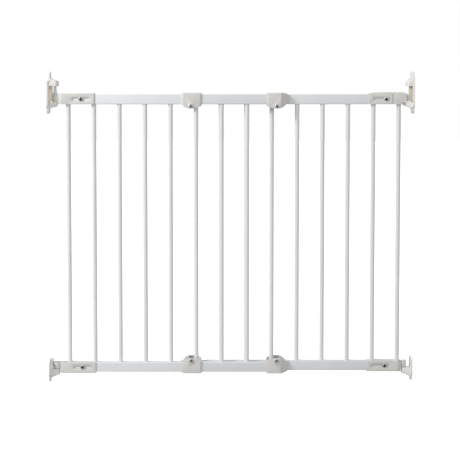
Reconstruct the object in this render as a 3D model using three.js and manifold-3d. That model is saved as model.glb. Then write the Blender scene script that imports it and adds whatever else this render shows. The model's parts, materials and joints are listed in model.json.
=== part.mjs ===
// Wall-mounted safety gate: two identical barred panels overlap and slide in one another,
// and hang between a hinge side (-X) and a latch side (+X). Millimetres, +Z up, +Y to the rear.
import * as THREE from "three";
import { mergeVertices } from "three/addons/utils/BufferGeometryUtils.js";
import Module from "manifold-3d";

const wasm = await Module();
wasm.setup();

// ---------- driving dimensions ----------
const OPENING = 910; // from wall to wall
const TOTAL_HEIGHT = 775;
const RUNNING_GAP = 0.3; // between pieces that slide or turn on each other

const RAIL_BOTTOM = 25;
const RAIL_TOP = 719;
const RAIL_TALL = 25;
const RAIL_DEEP = 15;
const RAIL_WALL = 1.2;
const RAIL_CORNER = 2;
const RAIL_LENGTH = 529;

const BAR_COUNT = 8;
const BAR_PITCH = 63.2;
const BAR_RADIUS = 5.5;
const BAR_WALL = 1;
const BAR_SIDES = 12;
const WELD_RADIUS = 6.3;
const WELD_HEIGHT = 3;
const WELD_FOOT = 1; // the weld's straight part

const PANEL_GAP = 1.5; // between the rails of the two panels
const FRONT_RAIL_START = -409.25;
const FIRST_BAR_INSET = 6.5;

const HINGE_WALL_DISTANCE = 20; // from a wall to the hinge or latch axis
const RAIL_END_TO_AXIS = 11; // from a rear rail's outer end to the latch axis
const PIN_RADIUS = 3.5;
const SLEEVE_WALL = 2.4;
const SLEEVE_ROOF = 2.45;
const LATCH_SLEEVE_ROOF = 5.2;
const HINGE_SLEEVE_LENGTH = 89.5;
const LATCH_SLEEVE_LENGTH = 86;
const SLEEVE_TO_AXIS = 8;
const SLEEVE_TAPER = 7;
const SLEEVE_CHAMFER = 2;
const POCKET_INSET = 2; // from a sleeve's start to its pocket for the rail end
const NECK_HALF = 5;
const NECK_END_HALF = 6; // half the depth of a sleeve where it meets the neck
const SLOT_LENGTH = 46;
const SLOT_INSET = 10.5;
const SLOT_TALL = 11;
const SHANK_SLOT_TALL = 6;
const SHANK_SLOT_INSET = 2.5;
const KNUCKLE_RADIUS = 6.25;
const WIDE_KNUCKLE_RADIUS = 9; // on the bottom hinge fitting, which carries the gate
const HINGE_ADJUSTER_X = -371;
const LATCH_ADJUSTER_INSET = 36.75; // from the rear rails' outer end
const SLIDER_TRAVEL = 4;
const SLIDER_LENGTH = 23;
const SLIDER_WALL = 1.2;
const SLIDER_CHAMFER = 3;
const SLIDER_NOSE = 9.5; // how far the slider reaches past its body, over the knuckle
const SLIDER_NOSE_LIFT = 2; // the nose's lower edge, above the bracket's arm

const CLAMP_WALL = 4;
const CLAMP_ROOF = 3.5;
const CLAMP_LOBE = 10.5; // how far an ear reaches past the rail's inner edge
const CLAMP_EAR_SHOULDER = 4;
const CLAMP_INNER_END = 25; // the next three are measured from the cross screw
const CLAMP_FACE_END = 9;
const CLAMP_NOSE_TIP = 31;
const CLAMP_FAR_EAR_END = 21;
const CLAMP_LOBE_START = 12;
const CLAMP_LOBE_BULGE = 16;
const CLAMP_LOBE_END = 23;
const CLAMP_ROOF_END = 12;
const CLAMP_ROOF_CHAMFER = 2;
const NOSE_HOLLOW_START = 2.5; // from the rail's end; the next three are inside the nose
const NOSE_HOLLOW_END = 16;
const NOSE_HOLLOW_SKIN = 2.5;
const NOSE_HOLLOW_BACK = -3;
const NUT_RADIUS = 4.6;
const NUT_POCKET_RADIUS = 5;
const NUT_POCKET_DEEP = 1.5;
const NUT_STANDS_OUT = 2;
const CROSS_SCREW_INSET = 6; // from the rail's inner end
const CROSS_SCREW_DROP = 4.5; // past the rail's inner edge
const SCREW_RADIUS = 2.5;
const HEAD_RADIUS = 5.2;
const HEAD_THICK = 2.4;
const CROSS_RECESS_HALF = 3;
const CROSS_RECESS_SLOT_HALF = 0.7;
const CROSS_RECESS_DEEP = 1.6;
const SOCKET_RADIUS = 2.6;
const SOCKET_DEEP = 1.8;

const PLATE_THICK = 4;
const PLATE_DEEP = 40;
const HINGE_ARM_REACH = 27.5; // from the wall
const LATCH_ARM_REACH = 19;
const UPPER_ARM_DEEP = 36;
const UPPER_ARM_CORNER = 5;
const UPPER_ARM_TIP_TALL = 12.5;
const UPPER_ARM_ROOT_TALL = 18;
const TONGUE_HALF = 6.7; // half the depth of the arms that carry a knuckle
const TONGUE_ROOT_TALL = 15;
const TONGUE_TIP_TALL = 8;
const SHELF_ROOT_TALL = 22;
const SHELF_TIP_TALL = 13.75;
const WEB_HALF = 6.5; // half the depth of the web behind the bottom hinge knuckle
const EAR_RADIUS = 12;
const UPPER_EAR_THICK = 8.5;
const LOWER_EAR_THICK = 6;
const TOP_PLATE_TAPER = 14; // how far above or below an ear's centre the plate is at its full depth
const BOTTOM_PLATE_TAPER = 10;
const BOTTOM_PLATE_CORNER = 6;
const BOTTOM_HOLE_INSET = 9;
const BOTTOM_HOLE_DROP = 11;
const WALL_HOLE_RADIUS = 2.6;
const LINER_THICK = 1.5;
const LINER_LIFT = 1.7; // above the lower arm
const LINER_RIB_REACH = 13; // from the wall
const LINER_RIB_FRONT = 0.5; // the rib's Y, from the bracket's middle
const LINER_RIB_REAR = 6.5;

const TOP_PLATE_BOTTOM = 671;
const UPPER_ARM_UNDERSIDE = 738.75;
const LOWER_ARM_TOP = 699.3;
const BOTTOM_PLATE_TOP = 57.5;
const SHELF_TOP = 32.5;
const FLANGE_THICK = 1.5;
const BUSH_RADIUS = 4.8;
const BUSH_FLANGE_RADIUS = 6.3;
const TOP_PIN_BOTTOM = 687;
const TOP_PIN_TOP = 742.5;
const BOTTOM_PIN_BOTTOM = 20;
const PIN_FOOT = 1.7; // how far the pins' shoulders stand out
const PIN_FOOT_TALL = 13;
const PIN_CAP_THICK = 1.2;
const TOP_BUSH_DEPTH = 7;
const BOTTOM_BUSH_DEPTH = 12;

// ---------- worked out ----------
const WALL_X = OPENING / 2;
const AXIS_X = WALL_X - HINGE_WALL_DISTANCE;
const PANEL_Y = (RAIL_DEEP + PANEL_GAP) / 2;
const FRONT_RAIL_END = FRONT_RAIL_START + RAIL_LENGTH;
const REAR_RAIL_END = AXIS_X - RAIL_END_TO_AXIS;
const HALF_TURN_X = (FRONT_RAIL_START + REAR_RAIL_END) / 2;
const MID_HEIGHT = (RAIL_TOP + RAIL_BOTTOM) / 2;
const RAIL_UNDER = RAIL_TOP - RAIL_TALL; // underside of a top rail
const RAIL_MIDDLE = RAIL_TOP - RAIL_TALL / 2;
const CLAMP_OUTER_Y = PANEL_Y + RAIL_DEEP / 2 + CLAMP_WALL;
const CROSS_SCREW_X = FRONT_RAIL_END - CROSS_SCREW_INSET;
const CROSS_SCREW_Z = RAIL_UNDER - CROSS_SCREW_DROP;
const KNUCKLE_BOTTOM = LOWER_ARM_TOP + FLANGE_THICK;
const KNUCKLE_TOP = RAIL_TOP + 2;
const SHELF_KNUCKLE_BOTTOM = SHELF_TOP + FLANGE_THICK;
const SLEEVE_HALF = RAIL_DEEP / 2 + RUNNING_GAP + SLEEVE_WALL;

// ---------- materials ----------
const material = (color, roughness, metalness) =>
  new THREE.MeshStandardMaterial({ color, roughness, metalness });
const powderCoat = material(0xe6e8ea, 0.42, 0.1);
const plastic = material(0xe9e7e1, 0.5, 0);
const liner = material(0xe8dfc6, 0.6, 0);
const nylon = material(0xddd6c2, 0.55, 0);
const zinc = material(0xb9bcc0, 0.3, 0.9);

// ---------- solids ----------
function solid(geometry) {
  const bare = geometry.index ? geometry.toNonIndexed() : geometry.clone();
  bare.deleteAttribute("normal");
  bare.deleteAttribute("uv");
  const merged = mergeVertices(bare, 1e-4);
  const mesh = new wasm.Mesh({
    numProp: 3,
    vertProperties: new Float32Array(merged.attributes.position.array),
    triVerts: new Uint32Array(merged.index.array),
  });
  return new wasm.Manifold(mesh);
}

function geometryOf(body) {
  const mesh = body.getMesh();
  const geometry = new THREE.BufferGeometry();
  geometry.setAttribute("position", new THREE.BufferAttribute(mesh.vertProperties, 3));
  geometry.setIndex(new THREE.BufferAttribute(mesh.triVerts, 1));
  return geometry;
}

const union = (...parts) => parts.reduce((sum, part) => sum.add(part));
const cut = (body, ...tools) => tools.reduce((left, tool) => left.subtract(tool), body);

function block(x0, x1, y0, y1, z0, z1) {
  const geometry = new THREE.BoxGeometry(x1 - x0, y1 - y0, z1 - z0);
  geometry.translate((x0 + x1) / 2, (y0 + y1) / 2, (z0 + z1) / 2);
  return solid(geometry);
}

// A round rod that stands along Z.
function uprightRod(radius, x, y, z0, z1, sides = 16) {
  const geometry = new THREE.CylinderGeometry(radius, radius, z1 - z0, sides);
  geometry.rotateX(Math.PI / 2);
  geometry.translate(x, y, (z0 + z1) / 2);
  return solid(geometry);
}

// A round rod, or with 6 sides a hexagonal one, that lies along Y.
function rodAlongY(radius, x, z, y0, y1, sides = 16) {
  const geometry = new THREE.CylinderGeometry(radius, radius, y1 - y0, sides);
  geometry.translate(x, (y0 + y1) / 2, z);
  return solid(geometry);
}

function rodAlongX(radius, y, z, x0, x1, sides = 16) {
  const geometry = new THREE.CylinderGeometry(radius, radius, x1 - x0, sides);
  geometry.rotateZ(Math.PI / 2);
  geometry.translate((x0 + x1) / 2, y, z);
  return solid(geometry);
}

const EXTRUDE = { bevelEnabled: false, curveSegments: 6 };

// An outline drawn in plan (X, Y), raised from z0 to z1.
function raised(shape, z0, z1) {
  const geometry = new THREE.ExtrudeGeometry(shape, { ...EXTRUDE, depth: z1 - z0 });
  geometry.translate(0, 0, z0);
  return solid(geometry);
}

// An outline drawn from the front (X, Z), taken from y0 back to y1.
function throughDepth(shape, y0, y1) {
  const geometry = new THREE.ExtrudeGeometry(shape, { ...EXTRUDE, depth: y1 - y0 });
  geometry.rotateX(Math.PI / 2);
  geometry.translate(0, y1, 0);
  return solid(geometry);
}

// An outline drawn from the side (Y, Z), taken from x0 to x1.
function throughWidth(shape, x0, x1, curveSegments = EXTRUDE.curveSegments) {
  const geometry = new THREE.ExtrudeGeometry(shape, { ...EXTRUDE, curveSegments, depth: x1 - x0 });
  const sideways = new THREE.Matrix4().makeBasis(
    new THREE.Vector3(0, 1, 0),
    new THREE.Vector3(0, 0, 1),
    new THREE.Vector3(1, 0, 0),
  );
  geometry.applyMatrix4(sideways);
  geometry.translate(x0, 0, 0);
  return solid(geometry);
}

function polygon(points) {
  return new THREE.Shape(points.map(([x, y]) => new THREE.Vector2(x, y)));
}

function roundedRectangle(x0, x1, y0, y1, corner) {
  const shape = new THREE.Shape();
  shape.moveTo(x0 + corner, y0);
  shape.lineTo(x1 - corner, y0);
  shape.absarc(x1 - corner, y0 + corner, corner, -Math.PI / 2, 0, false);
  shape.absarc(x1 - corner, y1 - corner, corner, 0, Math.PI / 2, false);
  shape.absarc(x0 + corner, y1 - corner, corner, Math.PI / 2, Math.PI, false);
  shape.absarc(x0 + corner, y0 + corner, corner, Math.PI, (3 * Math.PI) / 2, false);
  return shape;
}

// The same body mirrored across a plane x, y or z = centre.
function mirrored(geometry, axis, centre) {
  const copy = geometry.clone();
  const position = copy.attributes.position;
  const component = "xyz".indexOf(axis);
  for (let i = 0; i < position.count; i += 1) {
    position.setComponent(i, component, 2 * centre - position.getComponent(i, component));
  }
  const index = copy.index.array;
  for (let i = 0; i < index.length; i += 3) {
    [index[i + 1], index[i + 2]] = [index[i + 2], index[i + 1]];
  }
  return copy;
}

const toBottom = (geometry) => mirrored(geometry, "z", MID_HEIGHT);

function named(name, geometry, look) {
  const mesh = new THREE.Mesh(geometry, look);
  mesh.name = name;
  return mesh;
}

// ---------- panel pieces, drawn for the front panel ----------
function railGeometry() {
  const halfDeep = RAIL_DEEP / 2;
  const halfTall = RAIL_TALL / 2;
  const outline = roundedRectangle(-halfDeep, halfDeep, -halfTall, halfTall, RAIL_CORNER);
  const inside = roundedRectangle(
    RAIL_WALL - halfDeep,
    halfDeep - RAIL_WALL,
    RAIL_WALL - halfTall,
    halfTall - RAIL_WALL,
    RAIL_CORNER - RAIL_WALL,
  );
  const tube = throughWidth(outline, FRONT_RAIL_START, FRONT_RAIL_END, 2);
  const bore = throughWidth(inside, FRONT_RAIL_START - 1, FRONT_RAIL_END + 1, 1);
  const geometry = geometryOf(cut(tube, bore));
  geometry.translate(0, -PANEL_Y, RAIL_MIDDLE);
  return geometry;
}

function barGeometry() {
  const bottom = RAIL_BOTTOM + RAIL_TALL;
  const inner = BAR_RADIUS - BAR_WALL;
  const profile = [
    [inner, bottom],
    [WELD_RADIUS, bottom],
    [WELD_RADIUS, bottom + WELD_FOOT],
    [BAR_RADIUS, bottom + WELD_HEIGHT],
    [BAR_RADIUS, RAIL_UNDER - WELD_HEIGHT],
    [WELD_RADIUS, RAIL_UNDER - WELD_FOOT],
    [WELD_RADIUS, RAIL_UNDER],
    [inner, RAIL_UNDER],
    [inner, bottom],
  ].map(([radius, height]) => new THREE.Vector2(radius, height));
  const geometry = new THREE.LatheGeometry(profile, BAR_SIDES);
  geometry.rotateX(Math.PI / 2);
  return geometry;
}

// Plan outline of a clamp: flat ears, and a rounded nose that closes over its own rail's end.
function clampPlan() {
  const noseBack = PANEL_GAP / 2 - RUNNING_GAP;
  const shape = new THREE.Shape();
  shape.moveTo(CROSS_SCREW_X - CLAMP_INNER_END, -CLAMP_OUTER_Y);
  shape.lineTo(CROSS_SCREW_X + CLAMP_FACE_END, -CLAMP_OUTER_Y);
  shape.absellipse(
    CROSS_SCREW_X + CLAMP_FACE_END,
    noseBack,
    CLAMP_NOSE_TIP - CLAMP_FACE_END,
    CLAMP_OUTER_Y + noseBack,
    -Math.PI / 2,
    0,
    false,
    0,
  );
  shape.lineTo(CROSS_SCREW_X + CLAMP_FAR_EAR_END, CLAMP_OUTER_Y);
  shape.lineTo(CROSS_SCREW_X - CLAMP_INNER_END, CLAMP_OUTER_Y);
  return shape;
}

// Front outline of a clamp: a flat roof and ears that hang in a shallow lobe past the rail.
function clampElevation() {
  const left = CROSS_SCREW_X - CLAMP_INNER_END;
  const right = CROSS_SCREW_X + CLAMP_NOSE_TIP;
  const roof = RAIL_TOP + CLAMP_ROOF;
  const shoulder = RAIL_UNDER - CLAMP_EAR_SHOULDER;
  const lobe = RAIL_UNDER - CLAMP_LOBE;
  const shape = new THREE.Shape();
  shape.moveTo(left, shoulder);
  shape.quadraticCurveTo(CROSS_SCREW_X - CLAMP_LOBE_START, lobe, CROSS_SCREW_X, lobe);
  shape.quadraticCurveTo(
    CROSS_SCREW_X + CLAMP_LOBE_BULGE, lobe, CROSS_SCREW_X + CLAMP_LOBE_END, RAIL_UNDER);
  shape.lineTo(right, RAIL_UNDER);
  shape.lineTo(right, RAIL_TOP - CLAMP_ROOF);
  shape.quadraticCurveTo(right - CLAMP_ROOF, roof, CROSS_SCREW_X + CLAMP_ROOF_END, roof);
  shape.lineTo(left + CLAMP_ROOF_CHAMFER, roof);
  shape.lineTo(left, roof - CLAMP_ROOF_CHAMFER);
  return shape;
}

// nutSide is +1 where the nut sits in the ear at +Y, and -1 where it sits in the one at -Y.
function clampGeometry(nutSide) {
  const outerY = CLAMP_OUTER_Y;
  const below = RAIL_UNDER - CLAMP_LOBE - 1;
  const pocketTop = RAIL_TOP + RUNNING_GAP;
  const farX = CROSS_SCREW_X + CLAMP_NOSE_TIP + 1;
  const nearX = CROSS_SCREW_X - CLAMP_INNER_END - 1;
  const ownRailY = -PANEL_Y - RAIL_DEEP / 2;
  const otherRailY = PANEL_Y + RAIL_DEEP / 2 + RUNNING_GAP;
  const middleY = PANEL_GAP / 2 - RUNNING_GAP;
  const noseInside = FRONT_RAIL_END + RUNNING_GAP;
  const pocketY = [nutSide * (outerY - NUT_POCKET_DEEP), nutSide * (outerY + 1)].sort((a, b) => a - b);
  const nutPocket = rodAlongY(NUT_POCKET_RADIUS, CROSS_SCREW_X, CROSS_SCREW_Z, ...pocketY, 6);
  const hollow = block(
    noseInside + NOSE_HOLLOW_START,
    noseInside + NOSE_HOLLOW_END,
    ownRailY + NOSE_HOLLOW_SKIN,
    NOSE_HOLLOW_BACK,
    below - 1,
    RAIL_TOP - NOSE_HOLLOW_SKIN,
  );
  const screwHole = rodAlongY(
    SCREW_RADIUS + RUNNING_GAP, CROSS_SCREW_X, CROSS_SCREW_Z, -outerY - 1, outerY + 1);
  const blank = raised(clampPlan(), below - 1, pocketTop + CLAMP_ROOF + 1)
    .intersect(throughDepth(clampElevation(), -outerY - 1, outerY + 1));
  return geometryOf(cut(
    blank,
    block(nearX, noseInside, ownRailY, middleY + 1, below - 1, pocketTop),
    block(nearX, farX, middleY, otherRailY, below - 1, pocketTop),
    hollow,
    screwHole,
    nutPocket,
  ));
}

// A screw whose head rests on a face at y, with its shank running to the rear from there.
function screw(x, z, faceY, shankLength, recess) {
  const head = rodAlongY(HEAD_RADIUS, x, z, faceY - HEAD_THICK, faceY, 16);
  const shank = rodAlongY(SCREW_RADIUS, x, z, faceY - 0.5, faceY + shankLength, 10);
  return geometryOf(cut(union(head, shank), recess));
}

function crossScrewGeometry() {
  const top = -CLAMP_OUTER_Y - HEAD_THICK;
  const x = CROSS_SCREW_X;
  const z = CROSS_SCREW_Z;
  const [long, short] = [CROSS_RECESS_HALF, CROSS_RECESS_SLOT_HALF];
  const cross = union(
    block(x - long, x + long, top - 1, top + CROSS_RECESS_DEEP, z - short, z + short),
    block(x - short, x + short, top - 1, top + CROSS_RECESS_DEEP, z - long, z + long),
  );
  return screw(x, z, -CLAMP_OUTER_Y, 2 * CLAMP_OUTER_Y + 1, cross);
}

function crossNutGeometry() {
  const front = CLAMP_OUTER_Y - NUT_POCKET_DEEP;
  const rear = CLAMP_OUTER_Y + NUT_STANDS_OUT;
  const boreRadius = SCREW_RADIUS + RUNNING_GAP;
  const nut = rodAlongY(NUT_RADIUS, CROSS_SCREW_X, CROSS_SCREW_Z, front, rear, 6);
  return geometryOf(cut(nut, rodAlongY(boreRadius, CROSS_SCREW_X, CROSS_SCREW_Z, front - 1, rear + 1, 12)));
}

// The screw that clamps a rail end in its fitting, its head down in the fitting's slot.
function adjusterScrewGeometry(x) {
  const seatY = -PANEL_Y - SLEEVE_HALF + SLEEVE_WALL / 2;
  const top = seatY - HEAD_THICK;
  const socket = rodAlongY(SOCKET_RADIUS, x, RAIL_MIDDLE, top - 1, top + SOCKET_DEEP, 6);
  return screw(x, RAIL_MIDDLE, seatY, SLEEVE_WALL / 2 + RUNNING_GAP, socket);
}

// ---------- end fittings, drawn for the hinge side at the top ----------
function slotOutline(x0, x1, tall) {
  return roundedRectangle(x0, x1, RAIL_MIDDLE - tall / 2, RAIL_MIDDLE + tall / 2, tall / 2 - 0.01);
}

function slots(sleeveEnd) {
  const slotEnd = sleeveEnd - SLOT_INSET;
  const slotStart = slotEnd - SLOT_LENGTH;
  const seat = slotOutline(slotStart, slotEnd, SLOT_TALL);
  const shank = slotOutline(slotStart + SHANK_SLOT_INSET, slotEnd - SHANK_SLOT_INSET, SHANK_SLOT_TALL);
  return union(
    throughDepth(seat, -SLEEVE_HALF - 1, SLEEVE_WALL / 2 - SLEEVE_HALF),
    throughDepth(shank, -SLEEVE_HALF - 1, SLEEVE_HALF + 1),
  );
}

// The side outline of a channel that is closed on top, with its upper edges cut off at 45 degrees.
function channelOutline(half, top, chamfer) {
  return polygon([
    [-half, RAIL_UNDER],
    [half, RAIL_UNDER],
    [half, top - chamfer],
    [half - chamfer, top],
    [chamfer - half, top],
    [-half, top - chamfer],
  ]);
}

// The room round the slider's seat, which is cut away from the top latch fitting.
function aroundSliderSeat(start, top) {
  const seatEnd = start + SLIDER_LENGTH + SLIDER_TRAVEL;
  const seatHalf = RAIL_DEEP / 2 + RUNNING_GAP + SLIDER_WALL;
  const seatTop = RAIL_TOP + RUNNING_GAP + SLIDER_WALL;
  const around = block(
    start - 2, seatEnd, -SLEEVE_HALF - 1, SLEEVE_HALF + 1, RAIL_UNDER - 1, top + 1);
  return cut(around, block(start - 2, seatEnd + 1, -seatHalf, seatHalf, RAIL_UNDER - 2, seatTop));
}

// A channel over a rail end, with a neck and an upright knuckle on the hinge or latch axis.
// roof is the channel's height above the rail, and knuckle the lowest and highest Z of its knuckle.
function fittingGeometry({ length, roof, knuckle, radius = KNUCKLE_RADIUS, bored, sliderSeat }) {
  const start = -AXIS_X + SLEEVE_TO_AXIS;
  const end = start + length;
  const top = RAIL_TOP + roof;
  const [low, high] = knuckle;
  const pocketHalf = RAIL_DEEP / 2 + RUNNING_GAP;
  const plan = polygon([
    [start, -NECK_END_HALF],
    [start + SLEEVE_TAPER, -SLEEVE_HALF],
    [end, -SLEEVE_HALF],
    [end, SLEEVE_HALF],
    [start + SLEEVE_TAPER, SLEEVE_HALF],
    [start, NECK_END_HALF],
  ]);
  const sleeve = throughWidth(channelOutline(SLEEVE_HALF, top, SLEEVE_CHAMFER), start, end)
    .intersect(raised(plan, RAIL_UNDER - 1, top + 1));
  const neck = block(-AXIS_X, start + 1, -NECK_HALF, NECK_HALF, low, high);
  const post = uprightRod(radius, -AXIS_X, 0, low, high, 24);
  const tools = [
    block(start + POCKET_INSET, end + 1, -pocketHalf, pocketHalf, RAIL_UNDER - 1, RAIL_TOP + RUNNING_GAP),
    slots(end),
  ];
  if (bored) {
    tools.push(uprightRod(PIN_RADIUS + RUNNING_GAP, -AXIS_X, 0, low - 1, high + 1));
  }
  if (sliderSeat) {
    tools.push(aroundSliderSeat(start, top));
  }
  const geometry = geometryOf(union(cut(sleeve, ...tools), cut(union(neck, post), ...tools)));
  geometry.translate(0, -PANEL_Y, 0);
  return geometry;
}

// The saddle on the top latch fitting that a thumb pulls back.
function latchSliderGeometry() {
  const start = -AXIS_X + SLEEVE_TO_AXIS;
  const end = start + SLIDER_LENGTH;
  const tip = start - SLIDER_NOSE;
  const inner = RAIL_DEEP / 2 + 2 * RUNNING_GAP + SLIDER_WALL;
  const outer = inner + SLIDER_WALL;
  const top = RAIL_TOP + LATCH_SLEEVE_ROOF;
  const roofInside = RAIL_TOP + 2 * RUNNING_GAP + SLIDER_WALL;
  const saddle = throughWidth(channelOutline(outer, top, SLIDER_CHAMFER), tip, end);
  const channel = block(tip - 1, end + 1, -inner, inner, RAIL_UNDER - 1, roofInside);
  const underNose = block(
    tip - 1, start, -outer - 1, outer + 1, RAIL_UNDER - 1, LOWER_ARM_TOP + SLIDER_NOSE_LIFT);
  const geometry = geometryOf(cut(saddle, channel, underNose));
  geometry.translate(0, -PANEL_Y, 0);
  return geometry;
}

function lathed(profile, sides = 16) {
  const geometry = new THREE.LatheGeometry(profile.map(([r, z]) => new THREE.Vector2(r, z)), sides);
  geometry.rotateX(Math.PI / 2);
  geometry.translate(-AXIS_X, -PANEL_Y, 0);
  return geometryOf(solid(geometry));
}

// The top pin widens to a foot where it stands on the knuckle.
function topPinGeometry() {
  return lathed([
    [0, TOP_PIN_BOTTOM],
    [PIN_RADIUS, TOP_PIN_BOTTOM],
    [PIN_RADIUS, KNUCKLE_TOP],
    [PIN_RADIUS + PIN_FOOT, KNUCKLE_TOP],
    [PIN_RADIUS + PIN_FOOT / 2, KNUCKLE_TOP + PIN_FOOT_TALL / 3],
    [PIN_RADIUS, KNUCKLE_TOP + PIN_FOOT_TALL],
    [PIN_RADIUS, TOP_PIN_TOP - 1],
    [PIN_RADIUS - 1, TOP_PIN_TOP],
    [0, TOP_PIN_TOP],
  ]);
}

function bottomPinGeometry() {
  const seat = RAIL_BOTTOM + RAIL_TALL;
  const top = seat + PIN_CAP_THICK;
  return lathed([
    [0, BOTTOM_PIN_BOTTOM],
    [PIN_RADIUS - 1, BOTTOM_PIN_BOTTOM],
    [PIN_RADIUS, BOTTOM_PIN_BOTTOM + 1],
    [PIN_RADIUS, seat],
    [PIN_RADIUS + PIN_FOOT, seat],
    [PIN_RADIUS + PIN_FOOT, top],
    [0, top],
  ]);
}

// A flanged bush whose flange stands on an arm's top at the given height.
function bushGeometry(armTop, depth) {
  const inner = PIN_RADIUS + RUNNING_GAP;
  return lathed([
    [inner, armTop - depth],
    [BUSH_RADIUS, armTop - depth],
    [BUSH_RADIUS, armTop],
    [BUSH_FLANGE_RADIUS, armTop],
    [BUSH_FLANGE_RADIUS, armTop + FLANGE_THICK],
    [inner, armTop + FLANGE_THICK],
    [inner, armTop - depth],
  ]);
}

// ---------- wall brackets, drawn for the hinge side, in Y from the middle of the bracket ----------
const PLATE_ROOT = 1 - WALL_X; // where the arms start, inside the plate
const PLATE_FACE = PLATE_THICK - WALL_X;
const PLATE_HALF = PLATE_DEEP / 2;

function wallHole(y, z, inside) {
  return rodAlongX(WALL_HOLE_RADIUS, y, z, -WALL_X - 1, inside + 1, 12);
}

// A short arm with a round end about the axis, under the given side outline.
function tongue(top, rootTall, tipTall) {
  const tip = TONGUE_HALF - AXIS_X;
  const side = polygon([
    [PLATE_ROOT, top - rootTall],
    [tip, top - tipTall],
    [tip, top],
    [PLATE_ROOT, top],
  ]);
  const plan = new THREE.Shape();
  plan.moveTo(PLATE_ROOT, -TONGUE_HALF);
  plan.lineTo(-AXIS_X, -TONGUE_HALF);
  plan.absarc(-AXIS_X, 0, TONGUE_HALF, -Math.PI / 2, Math.PI / 2, false);
  plan.lineTo(PLATE_ROOT, TONGUE_HALF);
  return raised(plan, 0, TOTAL_HEIGHT).intersect(throughDepth(side, -TONGUE_HALF - 1, TONGUE_HALF + 1));
}

function bushBore(z0, z1) {
  return uprightRod(BUSH_RADIUS + RUNNING_GAP, -AXIS_X, 0, z0, z1);
}

// The deep arm that stands over the fitting and holds the top of the hinge pin.
function upperArm(reachFromWall) {
  const reach = reachFromWall - WALL_X;
  const side = polygon([
    [PLATE_ROOT, UPPER_ARM_UNDERSIDE],
    [reach, UPPER_ARM_UNDERSIDE],
    [reach, UPPER_ARM_UNDERSIDE + UPPER_ARM_TIP_TALL],
    [PLATE_FACE, UPPER_ARM_UNDERSIDE + UPPER_ARM_ROOT_TALL],
    [PLATE_ROOT, UPPER_ARM_UNDERSIDE + UPPER_ARM_ROOT_TALL],
  ]);
  const half = UPPER_ARM_DEEP / 2;
  const plan = roundedRectangle(PLATE_ROOT - 2 * UPPER_ARM_CORNER, reach, -half, half, UPPER_ARM_CORNER);
  return throughDepth(side, -PLATE_HALF, PLATE_HALF)
    .intersect(raised(plan, UPPER_ARM_UNDERSIDE - 1, TOTAL_HEIGHT));
}

function topPlateOutline(upperHole, lowerHole) {
  const outline = new THREE.Shape();
  outline.moveTo(-PLATE_HALF, lowerHole + TOP_PLATE_TAPER);
  outline.lineTo(-PLATE_HALF, upperHole - TOP_PLATE_TAPER);
  outline.lineTo(-EAR_RADIUS, upperHole);
  outline.absarc(0, upperHole, EAR_RADIUS, Math.PI, 0, true);
  outline.lineTo(PLATE_HALF, upperHole - TOP_PLATE_TAPER);
  outline.lineTo(PLATE_HALF, lowerHole + TOP_PLATE_TAPER);
  outline.lineTo(EAR_RADIUS, lowerHole);
  outline.absarc(0, lowerHole, EAR_RADIUS, 0, -Math.PI, true);
  return outline;
}

// The top plate is thicker at its two ears, above the upper arm and below the lower one.
function topBracketGeometry(armReach, pinned) {
  const upperHole = TOTAL_HEIGHT - EAR_RADIUS;
  const lowerHole = TOP_PLATE_BOTTOM + EAR_RADIUS;
  const outline = topPlateOutline(upperHole, lowerHole);
  const thickened = (thick, z0, z1) => throughWidth(outline, -WALL_X, thick - WALL_X)
    .intersect(block(-WALL_X - 1, thick - WALL_X, -PLATE_DEEP, PLATE_DEEP, z0, z1));
  const body = union(
    throughWidth(outline, -WALL_X, PLATE_FACE),
    thickened(UPPER_EAR_THICK, UPPER_ARM_UNDERSIDE + UPPER_ARM_TIP_TALL, TOTAL_HEIGHT),
    thickened(LOWER_EAR_THICK, TOP_PLATE_BOTTOM, LOWER_ARM_TOP - TONGUE_TIP_TALL),
    upperArm(armReach),
    tongue(LOWER_ARM_TOP, TONGUE_ROOT_TALL, TONGUE_TIP_TALL),
  );
  const tools = [
    wallHole(0, upperHole, UPPER_EAR_THICK - WALL_X),
    wallHole(0, lowerHole, LOWER_EAR_THICK - WALL_X),
    bushBore(TOP_PLATE_BOTTOM, LOWER_ARM_TOP + 1),
  ];
  if (pinned) {
    tools.push(uprightRod(PIN_RADIUS + 2 * RUNNING_GAP, -AXIS_X, 0, UPPER_ARM_UNDERSIDE - 1, TOTAL_HEIGHT));
  }
  return geometryOf(cut(body, ...tools));
}

function bottomPlateOutline(lowerHole) {
  const top = BOTTOM_PLATE_TOP - BOTTOM_PLATE_CORNER;
  const side = PLATE_HALF - BOTTOM_PLATE_CORNER;
  const outline = new THREE.Shape();
  outline.moveTo(-PLATE_HALF, lowerHole + BOTTOM_PLATE_TAPER);
  outline.lineTo(-PLATE_HALF, top);
  outline.absarc(-side, top, BOTTOM_PLATE_CORNER, Math.PI, Math.PI / 2, true);
  outline.absarc(side, top, BOTTOM_PLATE_CORNER, Math.PI / 2, 0, true);
  outline.lineTo(PLATE_HALF, lowerHole + BOTTOM_PLATE_TAPER);
  outline.lineTo(EAR_RADIUS, lowerHole);
  outline.absarc(0, lowerHole, EAR_RADIUS, 0, -Math.PI, true);
  return outline;
}

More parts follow.
